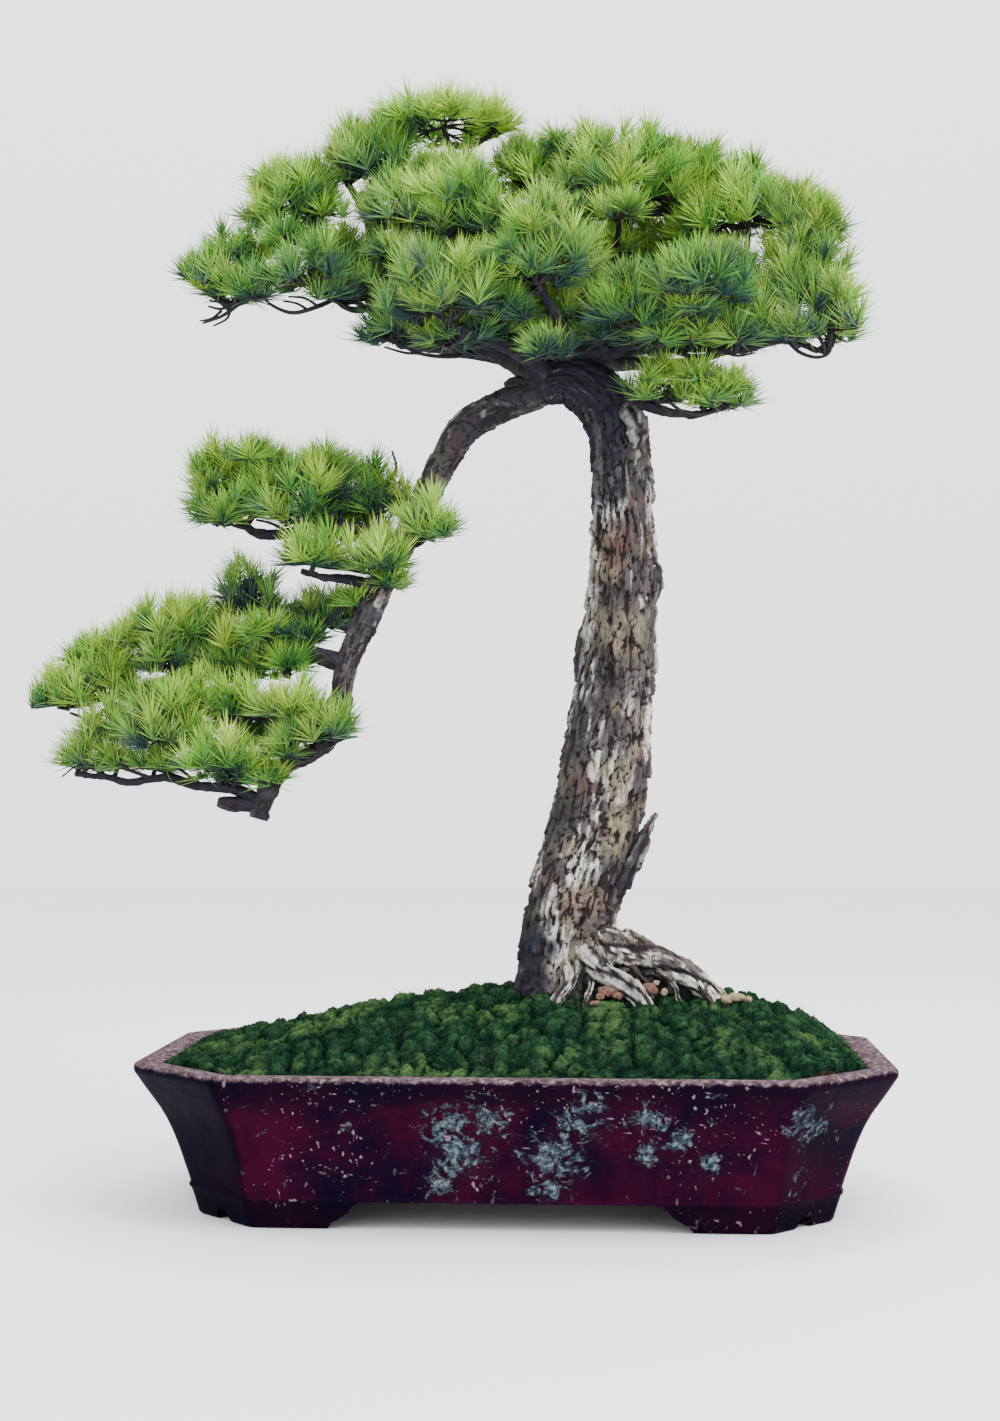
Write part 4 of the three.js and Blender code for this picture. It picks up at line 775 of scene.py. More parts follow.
def pad_plan(pad, branches, source):
    """The branchlet that a pad hangs on, if it needs one, and the hub that its twigs leave."""
    heart = np.array(pad[:3], float) + [0, 0, BRANCHLET["heart"]]
    start, tangent, at_end = nearest_on_wood(heart, branches)
    span = np.linalg.norm(heart - start)
    plan = {"pad": pad, "branchlet": None, "collar": start, "direction": tangent}
    if not (at_end and span < BRANCHLET["limb_end"]):
        middle = (start + heart) / 2
        middle[2] -= 0.12 * span * (0.5 + next(source))
        middle[0] += 0.1 * span * (next(source) - 0.5)
        middle[1] += 0.1 * span * (next(source) - 0.5)
        thin = BRANCHLET["radius"]
        thick = thin + min(BRANCHLET["thicker"], span / BRANCHLET["slender"])
        radii = (thick, (thick + thin) / 2, thin)
        plan["branchlet"] = np.column_stack([[start, middle, heart], radii])
        plan["collar"] = heart
        plan["direction"] = unit(heart - middle)
    plan["hub"] = plan["collar"] + BRANCHLET["hub"] * plan["direction"]
    return plan


# Shoots and needles
def shoots_of(plan, shade, rng):
    """Foot, axis and stem length of each shoot of a pad, and the painted light it carries. The shoots
    stand on a dome, upright on its top and leaning out towards its edge."""
    x, y, z, half_length, height = plan["pad"]
    half = np.array([half_length, PAD_DEPTH * half_length]) + PAD_GROWTH["side"]
    low, high = 0.26 * height, 0.74 * height + PAD_GROWTH["top"]
    middle = np.array([x, y, z + low])
    area = 2 * math.pi * (half[0] * half[1] * (0.45 + 0.7 * height / (2 * half[0])))
    count = max(12, round(area / SHOOT_SPACING**2))
    k = np.arange(count) + 0.5
    up = 1 - 1.16 * k / count
    turn = GOLDEN * k + rng.uniform(0, 2 * math.pi)
    out = np.sqrt(np.clip(1 - up**2, 0, 1))
    way = np.stack([out * np.cos(turn), out * np.sin(turn), up], axis=1)
    way = unit(way + rng.normal(0, 0.13, way.shape))
    size = np.stack(
        [np.full(count, half[0]), np.full(count, half[1]), np.where(way[:, 2] > 0, high, low)],
        axis=1,
    )
    swell = 1 + 0.22 * (smooth_noise(middle + way * size, 42, 2) - 0.6)[:, None]
    depth = 1.06 - 0.42 * rng.random(count) ** 1.6
    surface = middle + way * size * swell * depth[:, None]
    axis = unit(unit(way / size) * 0.7 + [0, 0, 0.62] + rng.normal(0, 0.26, way.shape))
    foot = surface - SHOOT["reach"] * axis
    flat = unit(np.stack([way[:, 0], way[:, 1], 0 * up], axis=1) + 1e-9)
    reach = np.sum((foot - middle) * flat, axis=1)
    foot = foot + flat * (np.maximum(reach, 2.5) - reach)[:, None]
    foot[:, 2] = np.maximum(foot[:, 2], z + rng.uniform(2, 12, count))
    axis = unit(surface - foot)
    stem = np.linalg.norm(surface - foot, axis=1) - 0.8 * NEEDLE["length"]
    share = np.clip((surface[:, 2] - z) / (height + PAD_GROWTH["top"]), 0, 1)
    # Painted light and shade: darker deep in the pad and low on it, lighter on its top and facing up
    light = 0.56 * depth - 0.19 + 0.21 * share + 0.06 * way[:, 2] + rng.normal(0, 0.16, count) - shade
    low, crown, cascade = (
        smoothstep(*LEVELS[key], surface[:, 2]) for key in ("low", "crown", "cascade")
    )
    # Painted light on top of cascade pads and painted shade under them, and painted shade low in the
    # crown
    light += 0.24 * (share - 0.42) * cascade - 0.16 * low * crown
    for at_x, at_z, radius, gain in LIGHT_PATCHES:
        away = np.hypot(surface[:, 0] - at_x, surface[:, 2] - at_z)
        light += gain * smoothstep(radius, 0.45 * radius, away)
    return foot, axis, np.clip(stem, *SHOOT["stem"]), way, light


def needles_of(shoots, rng):
    """Slim needles round each shoot, held inside the object's box."""
    foot, axis, stem, _, light = shoots
    each = SHOOT["needles"]
    count = len(foot) * each
    own = np.repeat(np.arange(len(foot)), each)
    along = (np.tile(np.arange(each), len(foot)) + rng.random(count)) / each
    wide, narrow = SHOOT["spread"]
    lean = wide + (narrow - wide) * along**0.8 + rng.normal(0, 0.15, count)
    turn = GOLDEN * np.arange(count) + rng.normal(0, 0.5, count)
    first, second = across_of(axis)
    round_about = first[own] * np.cos(turn)[:, None] + second[own] * np.sin(turn)[:, None]
    point = axis[own] * np.cos(lean)[:, None] + round_about * np.sin(lean)[:, None]
    point[:, 2] = np.where(point[:, 2] < 0, 0.4 * point[:, 2], point[:, 2])
    point = unit(point + [0, 0, 0.16])
    start = foot[own] + axis[own] * (stem[own] * (0.15 + 0.85 * along))[:, None]
    length = NEEDLE["length"] + NEEDLE["vary"] * rng.uniform(-1, 1, count)
    room = np.where(point > 0, BOX_HIGH - BOX_MARGIN - start, start - BOX_LOW - BOX_MARGIN)
    length = np.minimum(length, (room / np.abs(point)).min(axis=1))
    # Each needle's painted light: its shoot's, and lighter where it points up
    shine = light[own] + 0.14 * point[:, 2] + rng.normal(0, 0.08, count)
    masks = np.zeros((count, 4, 4))
    masks[..., 0] = np.clip(shine, 0, 1)[:, None]
    masks[:, 3, 1] = 1
    masks[..., 2] = rng.random(count)[:, None]
    masks[..., 3] = cell_random(foot[own, 0], foot[own, 1], 3)[:, None]
    made = spikes(start, point, length, NEEDLE["radius"], NEEDLE["turns"])
    return *made, masks.reshape(-1, 4)


def twigs_of(plan, shoots, rng):
    """Arms from the hub, and from each arm a twig to each shoot's foot and on along its stem."""
    foot, axis, stem, way, _ = shoots
    hub, collar = plan["hub"], plan["collar"]
    sectors = ARMS["few"] if len(foot) < ARMS["from"] else ARMS["many"]
    sector = np.floor((np.arctan2(way[:, 1], way[:, 0]) / (2 * math.pi) % 1) * sectors).astype(int)
    parts = []
    for s in range(sectors):
        mine = np.flatnonzero(sector == s)
        if not len(mine):
            continue
        heart = foot[mine].mean(axis=0)
        fork = hub + 0.6 * (heart - hub)
        fork[2] = min(fork[2], plan["pad"][2] + 0.25 * plan["pad"][4])
        bend = (hub + fork) / 2 + rng.normal(0, 2.5, 3) + [0, 0, -2]
        parts.append(tube(np.column_stack([[hub, bend, fork], TWIG_RADII["arm"]]), **ARM_MESH))
        for i in mine:
            middle = 0.5 * (fork + foot[i]) + rng.normal(0, 1.5, 3) - 0.15 * stem[i] * axis[i]
            tip = foot[i] + axis[i] * stem[i]
            parts.append(twig([fork, middle, foot[i], tip], TWIG_RADII["twig"]))
    line = [collar - 3 * plan["direction"], collar, hub]
    return [*parts, tube(np.column_stack([line, TWIG_RADII["stem"]]), **THIN_MESH)]


# Moss and pot
def outline_size(outward):
    """Half length, half width and chamfer of the pot's outline at this distance outside its base."""
    widening = (POT["rim_chamfer"] - POT["base_chamfer"]) * outward / POT["spread"]
    return POT["length"] / 2 + outward, POT["width"] / 2 + outward, POT["base_chamfer"] + widening


def octagon_half_length(across, outward):
    """Half the outline's length at this distance from its long middle line."""
    half_length, half_width, chamfer = outline_size(outward)
    return half_length - np.maximum(0, np.abs(across) - (half_width - chamfer))


def mound_height(x, y):
    """The soil's height: a crest along the middle that falls off earlier at the left."""
    along = np.minimum(1, np.abs(x) / MOUND["end_x"])
    across = np.minimum(1, np.abs(y) / MOUND["end_y"])
    power = np.where(x < 0, MOUND["left"], MOUND["right"])
    return MOUND["edge"] + MOUND["crest"] * (1 - along**power) * (1 - across ** MOUND["across"])


def moss_surface(x, y):
    """Height of the moss, and its masks: how high on a cushion, the cushion's number, small fuzz."""
    flat = np.stack([x, y, 0 * x], axis=-1)
    wander_x = 26 * (rough_noise(flat, 34, 6, 2) - 0.5)
    wander_y = 26 * (rough_noise(flat, 34, 7, 2) - 0.5)
    inside = octagon_half_length(y, MOSS["outward"]) - np.abs(x)
    edge = smoothstep(0, 26, np.minimum(MOUND["end_y"] - np.abs(y), 0.75 * inside))
    height = mound_height(x, y) + MOSS["thick"]
    crown, number = 0, 0
    for share, (width, swell, salt) in zip((0.35, 0.55, 0.1), CUSHIONS, strict=True):
        border, tone, off_x, off_y = cells(
            (x + wander_x) / width, (y + wander_y) / width, None, salt, 0.9
        )
        dome = np.clip(1 - (np.hypot(off_x, off_y) / 0.8) ** 2, 0, 1) ** 0.7
        dome *= smoothstep(-0.05, 0.34, border)
        height = height + swell * (0.3 + 0.7 * edge) * (dome * (0.55 + 0.6 * tone) - 0.5)
        crown = crown + share * dome
        number = number + share * tone
    fuzz = smooth_noise(flat, 3.4, 8)
    height = height + 1.8 * (fuzz - 0.5) + 2.5 * (1 - edge)
    return height, np.stack([crown, number, fuzz, 0.5 + 0 * x], axis=-1)


def moss_cover():
    """The cushions over the soil, down to a flat underside inside the pot."""
    columns, rows = MOSS["columns"], MOSS["rows"]
    half_width = outline_size(MOSS["outward"])[1]
    share = np.linspace(-1, 1, columns)
    y = np.linspace(-half_width, half_width, rows)[:, None] + 0 * share
    x = octagon_half_length(y, MOSS["outward"]) * share
    z, masks = moss_surface(x, y)
    top = np.stack([x, y, z], axis=-1).reshape(-1, 3)
    grid = np.arange(rows * columns).reshape(rows, columns)
    quads = np.stack([grid[:-1, :-1], grid[:-1, 1:], grid[1:, 1:], grid[1:, :-1]], axis=-1)
    rim = np.concatenate([grid[0, :-1], grid[:-1, -1], grid[-1, :0:-1], grid[:0:-1, 0]])
    skirt = top[rim] * [1, 1, 0] + [0, 0, MOSS["bottom"]]
    step = len(top) + np.arange(len(rim))
    following = np.roll(step, -1)
    wall = np.stack([rim, step, following, np.roll(rim, -1)], axis=-1)
    floor = np.stack([len(top) + len(rim) + 0 * step, following, step], axis=-1)
    points = np.concatenate([top, skirt, [[0, 0, MOSS["bottom"]]]])
    look = np.concatenate([masks.reshape(-1, 4), np.tile([0, 0.3, 0.5, 0.5], (len(rim) + 1, 1))])
    return points, np.concatenate([quads.reshape(-1, 4), wall]), floor, look


def moss_stems(rng):
    """Short stems that stand on the cushions."""
    count, outward = MOSS_STEMS["count"], MOSS_STEMS["outward"]
    y = rng.uniform(-1, 1, count) * (POT["width"] / 2 + outward)
    x = rng.uniform(-1, 1, count) * (octagon_half_length(y, outward) - 2)
    z, masks = moss_surface(x, y)
    slope_x, slope_y = ((z - moss_surface(x + dx, y + dy)[0]) / 2 for dx, dy in ((2, 0), (0, 2)))
    slope = unit(np.stack([slope_x, slope_y, np.ones(count)], axis=1))
    way = unit(slope + rng.normal(0, 0.35, (count, 3)) + [0, 0, 0.3])
    length = rng.uniform(*MOSS_STEMS["length"], count)
    foot = np.stack([x, y, z - 1.2], axis=1)
    look = np.repeat(masks[:, None], 4, axis=1)
    look[:, 3, 0] += 0.25
    look[..., 3] = 1
    made = spikes(foot, way, length, MOSS_STEMS["radius"], MOSS_STEMS["turns"])
    return *made, np.clip(look, 0, 1).reshape(-1, 4)


def octagon(outward):
    """The outline with rounded corners, at this distance outside the base's."""
    half_length, half_width, chamfer = outline_size(outward)
    far, near = half_length - chamfer, half_width - chamfer
    corners = np.array([
        (half_length, -near), (half_length, near), (far, half_width), (-far, half_width),
        (-half_length, near), (-half_length, -near), (-far, -half_width), (far, -half_width),
    ])
    outline = []
    for k, corner in enumerate(corners):
        following = corners[(k + 1) % 8]
        before = corner + unit(corners[k - 1] - corner) * POT["corner"]
        after = corner + unit(following - corner) * POT["corner"]
        end = following + unit(corner - following) * POT["corner"]
        for t in np.linspace(0, 1, POT["steps"]):
            outline.append((1 - t) ** 2 * before + 2 * t * (1 - t) * corner + t**2 * after)
        shares = np.linspace(0, 1, POT["pieces"][k % 4] + 1)[1:-1]
        outline += [after + (end - after) * t for t in shares]
    return np.array(outline)


def loft(levels):
    """A closed loft through (height, outward) levels, with flat ends."""
    rings = [np.insert(octagon(outward), 2, z, axis=1) for z, outward in levels]
    ends = [[0, 0, levels[0][0]], [0, 0, levels[-1][0]]]
    return np.concatenate([*rings, ends]), skin(len(rings[0]), len(rings))


def prism(outline, way, half):
    """A closed prism whose (across, height) outline runs along a flat way by half each side."""
    way = np.array([*way, 0.0])
    sheet = np.array([[way[1], -way[0], 0.0], [0, 0, 1.0]])
    face = np.array(outline, float) @ sheet
    middle = np.mean(outline, axis=0) @ sheet
    ends = [middle - half * way, middle + half * way]
    return np.concatenate([face - half * way, face + half * way, ends]), skin(len(face), 2)


def arch(half_outline):
    """A whole opening from its right half."""
    return [*half_outline, *[(-across, z) for across, z in reversed(half_outline)]]


def circle(radius, angles):
    return [(radius * math.cos(a), radius * math.sin(a)) for a in angles]


def solid(name, points, faces):
    """A closed mesh, its faces turned outwards."""
    mesh = bpy.data.meshes.new(name)
    mesh.from_pydata((points * MM + ORIGIN).tolist(), [], [f for g in faces for f in g.tolist()])
    bm = bmesh.new()
    bm.from_mesh(mesh)
    bmesh.ops.recalc_face_normals(bm, faces=bm.faces)
    bm.to_mesh(mesh)
    bm.free()
    return add_object(name, mesh)


def cut(body, cutters):
    """Takes the cutters out of the body."""
    for cutter in cutters:
        modifier = body.modifiers.new("cut", "BOOLEAN")
        modifier.operation, modifier.solver, modifier.object = "DIFFERENCE", "EXACT", cutter
    bpy.context.view_layer.update()
    graph = bpy.context.evaluated_depsgraph_get()
    mesh = bpy.data.meshes.new_from_object(body.evaluated_get(graph))
    body.modifiers.clear()
    body.data = mesh
    for cutter in cutters:
        bpy.data.objects.remove(cutter)


def pot_piece(material):
    """The pot: lofted, then hollowed under its floor, opened between its feet, notched and drilled."""
    top, underside, inset = POT_FLOOR["top"], POT_FLOOR["underside"], -POT_FLOOR["foot"]
    half_length, half_width, chamfer = outline_size(0)
    cutters = [
        solid("under", *loft([(-1, inset), (underside, inset)])),
        solid("long_opening", *prism(arch(LONG_OPENING), (0, 1), POT["width"])),
        solid("short_opening", *prism(arch(SHORT_OPENING), (1, 0), POT["length"])),
    ]
    radius, diagonal = NOTCH["radius"], math.sqrt(0.5)
    notch = [(-radius, -NOTCH["below"]), (radius, -NOTCH["below"])]
    notch += circle(radius, np.linspace(0, math.pi, 13))
    for sx in (-1, 1):
        for sy in (-1, 1):
            points, faces = prism(notch, (sx * diagonal, sy * diagonal), NOTCH["depth"])
            corner = [sx * (half_length - chamfer / 2), sy * (half_width - chamfer / 2), 0]
            cutters.append(solid("notch", points + corner, faces))
    hole = circle(DRAIN["diameter"] / 2, np.linspace(0, 2 * math.pi, 33)[:-1])
    for x in (-DRAIN["x"], DRAIN["x"]):
        points, faces = prism(hole, (0, 1), DRAIN["reach"])
        cutters.append(solid("drain", points[:, [0, 2, 1]] + [x, 0, (top + underside) / 2], faces))
    body = solid("glazed_pot", *loft(POT_OUTSIDE + POT_INSIDE))
    cut(body, cutters)
    body.data.materials.append(material)
    bevel = body.modifiers.new("soft_edges", "BEVEL")
    bevel.width, bevel.segments, bevel.limit_method = POT["bevel"] * MM, 2, "ANGLE"
    bevel.angle_limit = math.radians(POT["bevel_from"])
    body.data.polygons.foreach_set("use_smooth", np.full(len(body.data.polygons), True))
    body.data.set_sharp_from_angle(angle=math.radians(POT["hard_from"]))
    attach(body, "root")
    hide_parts("pot")


def pebble(middle, size, seed):
    """An uneven stone, sunk a little into the moss."""
    bm = bmesh.new()
    bmesh.ops.create_icosphere(bm, subdivisions=3, radius=1.0)
    points = np.array([v.co for v in bm.verts])
    faces = [[v.index for v in f.verts] for f in bm.faces]
    bm.free()
    rng = np.random.default_rng(seed)
    lumps = 1 + 0.9 * (rough_noise(points, 0.8, seed) - 0.5)[:, None]
    for _ in range(3):
        spin = np.linalg.qr(rng.normal(size=(3, 3)))[0]
        spin = spin * np.linalg.det(spin)
        points = np.clip(points @ spin.T, -0.84, 0.84)
    return points * lumps * size + middle, [], faces


# Materials
class Value:
    """A shader socket that takes + - * / and abs, each of which adds a node."""

    def __init__(self, shader, socket):
        self.shader, self.socket = shader, socket

    def __add__(self, other):
        return self.shader.math("ADD", self, other)

    def __sub__(self, other):
        return self.shader.math("SUBTRACT", self, other)

    def __rsub__(self, other):
        return self.shader.math("SUBTRACT", other, self)

    def __mul__(self, other):
        return self.shader.math("MULTIPLY", self, other)

    def __truediv__(self, other):
        return self.shader.math("DIVIDE", self, other)

    def __abs__(self):
        return self.shader.math("ABSOLUTE", self, 0.0)


class Shader:
    """A node material that is built line by line; an input may be a number, a colour or a Value."""

    def __init__(self, name, roughness=0.6, shine=0.15):
        self.material = bpy.data.materials.new(name)
        self.material.use_nodes = True
        self.tree = self.material.node_tree
        self.surface = self.tree.nodes["Principled BSDF"]
        self.surface.inputs["Roughness"].default_value = roughness
        self.surface.inputs["Specular IOR Level"].default_value = shine
        self.place = self.made("TexCoord", {}, "Object")

    def made(self, kind, inputs, output, **settings):
        """The output of a new node with these settings and inputs."""
        node = self.tree.nodes.new("ShaderNode" + kind)
        for key, value in settings.items():
            setattr(node, key, value)
        for key, value in inputs.items():
            self.put(node.inputs[key], value)
        return Value(self, node.outputs[output])

    def put(self, socket, value):
        if isinstance(value, Value):
            self.tree.links.new(value.socket, socket)
        else:
            socket.default_value = value

    def mask(self):
        """The four masks that the mesh carries."""
        colour = self.made("Attribute", {}, "Color", attribute_name="masks")
        parts = self.made("SeparateColor", {0: colour}, 0).socket.node.outputs
        alpha = colour.socket.node.outputs["Alpha"]
        return [Value(self, socket) for socket in (*parts[:3], alpha)]

    def axes(self):
        """How far along X, Y and Z in the row frame the surface is."""
        parts = self.made("SeparateXYZ", {0: self.place}, 0).socket.node.outputs
        return [Value(self, socket) for socket in parts]

    def math(self, operation, a, b, clamp=False):
        return self.made("Math", {0: a, 1: b}, 0, operation=operation, use_clamp=clamp)

    def noise(self, scale, detail=3.0, roughness=0.55, stretch=(1, 1, 1), distortion=0.0, offset=0):
        """Noise whose lumps are about 1 / scale metres, stretched along the axes."""
        mapping = {"Vector": self.place, "Scale": stretch, "Location": (offset, offset, offset)}
        place = self.made("Mapping", mapping, 0)
        inputs = {"Vector": place, "Scale": scale, "Detail": detail, "Roughness": roughness}
        return self.made("TexNoise", {**inputs, "Distortion": distortion}, "Fac")

    def ramp(self, value, *stops):
        """A colour or number for each value; stops are (place, colour or grey)."""
        colour = self.made("ValToRGB", {0: value}, "Color")
        elements = colour.socket.node.color_ramp.elements
        while len(elements) < len(stops):
            elements.new(0.5)
        for element, (place, look) in zip(elements, stops, strict=True):
            element.position = place
            element.color = (*look, 1) if isinstance(look, tuple) else (look, look, look, 1)
        return colour

    def near(self, middle, radius, *stops):
        """The stops' value for the distance from a place on the object, as a share of the radius."""
        middle = tuple(np.array(middle) * MM + ORIGIN)
        away = self.made("VectorMath", {0: self.place, 1: middle}, "Value", operation="DISTANCE")
        return self.ramp(away / (radius * MM), *stops)

    def mix(self, share, a, b, kind="MIX"):
        a, b = ((*c, 1) if isinstance(c, tuple) else c for c in (a, b))
        return self.made("Mix", {0: share, 6: a, 7: b}, 2, data_type="RGBA", blend_type=kind)

    def bump(self, height, depth, before=None):
        """Raises the surface by this height in metres."""
        inputs = {"Distance": depth, "Height": height}
        if before is not None:
            inputs["Normal"] = before
        return self.made("Bump", inputs, "Normal")

    def finish(self, colour, roughness=None, normal=None):
        for key, value in (("Base Color", colour), ("Roughness", roughness), ("Normal", normal)):
            if value is not None:
                self.put(self.surface.inputs[key], value)
        return self.material


def needle_material():
    """Needles coloured by painted light: dark blue-green in painted shade under a pad, yellow-green
    where painted light lies on its top, and a painted glow makes them paler at their tips.
    """
    s = Shader("pine_needles", roughness=0.5, shine=0.19)
    light, along, own, tuft = s.mask()
    level = light + (s.noise(8.0, 2.0) - 0.5) * 0.4 + (own - 0.5) * 0.16
    # Painted glow: paler towards each needle's tip, darker at its foot
    level = s.math("ADD", level, (along - 0.6) * 0.42, clamp=True)
    colour = s.ramp(
        level,
        (0.0, (0.014, 0.031, 0.034)),
        (0.2, (0.030, 0.074, 0.049)),
        (0.42, (0.066, 0.172, 0.040)),
        (0.66, (0.134, 0.294, 0.038)),
        (0.84, (0.228, 0.405, 0.040)),
        (1.0, (0.390, 0.556, 0.092)),
    )
    deep = s.ramp(s.noise(9.0, 2.0, offset=9), (0.44, 0), (0.6, 0.55))
    colour = s.mix(deep, colour, s.mix(1.0, colour, (0.60, 0.98, 0.62), "MULTIPLY"))
    fresh = s.ramp(tuft, (0.62, 0), (0.86, 1)) * level
    return s.finish(s.mix(fresh * 0.55, colour, (0.35, 0.42, 0.05)))


def bark_material():
    """Grey plates with red, buff and tinted patches, almost black in the cracks, and dark blue-grey
    painted shade where the fourth mask asks for it.
    """
    s = Shader("flaky_bark", roughness=0.9)
    tone, crack, group, dark = s.mask()
    streaks = s.noise(170, 5.0, 0.72, (1, 1, 0.2), 0.5)
    grain = s.noise(520, 3.0, 0.6, (1, 1, 0.4))
    patches = s.noise(22, 3.0, 0.55, (1, 1, 0.6), offset=5)
    higher = s.ramp(s.axes()[2], (0.36, 0), (0.66, 0.125))
    plate = s.ramp(
        tone * 0.5 + streaks * 0.5 + (group - 0.5) * 0.8 + (higher - 0.072),
        (0.24, (0.014, 0.012, 0.013)),
        (0.44, (0.044, 0.039, 0.038)),
        (0.6, (0.094, 0.084, 0.078)),
        (0.76, (0.72, 0.68, 0.61)),
    )
    red = s.ramp(patches, (0.54, 0), (0.64, 1))
    plate = s.mix(red * 0.46, plate, (0.115, 0.050, 0.036))
    buff = s.ramp(s.noise(15, 2.0, offset=17), (0.52, 0), (0.64, 1))
    plate = s.mix(buff * 0.34, plate, (0.30, 0.255, 0.155))
    for *middle, radius, tint in BARK_TINTS:
        near = s.near(middle, radius, (0.35, 1), (1.0, 0))
        ragged = near * s.ramp(patches, (0.4, 0.25), (0.56, 1))
        plate = s.mix(ragged * 0.6, plate, TINTS[tint])
    plate = s.mix(s.ramp(grain, (0.35, 0.45), (0.6, 0)), plate, (0.05, 0.042, 0.042))
    # Painted shade: the fourth mask mixes the bark towards a dark blue-grey
    shade = s.mix(dark, plate, s.mix(0.92, plate, (0.011, 0.012, 0.021)))
    crevice = s.ramp(crack + (streaks - 0.5) * 0.6, (0.22, 0), (0.66, 1))
    colour = s.mix(crevice, shade, (0.014, 0.010, 0.010))
    return s.finish(colour, normal=s.bump(streaks + grain * 0.4, 0.002))


def twig_material():
    s = Shader("twig_bark", roughness=0.85)
    grain = s.noise(420, 3.0, 0.6)
    colour = s.ramp(
        grain * 0.6 + s.noise(30, 2.0) * 0.4,
        (0.3, (0.010, 0.010, 0.012)),
        (0.55, (0.026, 0.024, 0.025)),
        (0.8, (0.075, 0.066, 0.060)),
    )
    return s.finish(colour, normal=s.bump(grain, 0.0008))


def moss_material():
    """Deep green between the cushions, fresh green on some of them, a few pale tips."""
    s = Shader("moss_cushions", roughness=0.9, shine=0.0)
    crown, number = s.mask()[:2]
    patches = s.noise(14, 3.0, offset=3)
    fine = s.noise(520, 3.0, 0.7)
    tufts = s.noise(170, 3.0, 0.6, offset=13)
    level = crown * 0.6 + fine * 0.3 + (tufts - 0.38) * 0.85
    colour = s.ramp(
        level,
        (0.2, (0.0012, 0.004, 0.0035)),
        (0.48, (0.005, 0.017, 0.010)),
        (0.74, (0.012, 0.041, 0.018)),
        (1.0, (0.045, 0.095, 0.032)),
    )
    bright = s.ramp(patches, (0.5, 0), (0.62, 1)) * s.ramp(level, (0.45, 0), (0.95, 1))
    colour = s.mix(bright * 0.75, colour, (0.088, 0.160, 0.047))
    pale = s.ramp(number, (0.58, 0), (0.7, 1)) * s.ramp(fine, (0.5, 0), (0.7, 1))
    colour = s.mix(pale * 0.3, colour, (0.09, 0.13, 0.08))
    return s.finish(colour, normal=s.bump(fine, 0.003, s.bump(tufts, 0.008)))


def soil_material():
    s = Shader("granular_soil", roughness=0.95)
    grains = s.noise(260, 4.0, 0.7)
    colour = s.ramp(
        grains * 0.6 + s.noise(40, 3.0) * 0.4,
        (0.3, (0.035, 0.022, 0.014)),
        (0.55, (0.11, 0.07, 0.045)),
        (0.75, (0.26, 0.19, 0.13)),
    )
    return s.finish(colour, normal=s.bump(grains, 0.004))


def screen_material():
    s = Shader("moulded_screen", roughness=0.6)
    grain = s.noise(900, 2.0)
    colour = s.ramp(grain, (0.3, (0.010, 0.011, 0.010)), (0.7, (0.03, 0.032, 0.03)))
    return s.finish(colour, s.ramp(grain, (0.3, 0.5), (0.7, 0.75)), s.bump(grain, 0.0003))


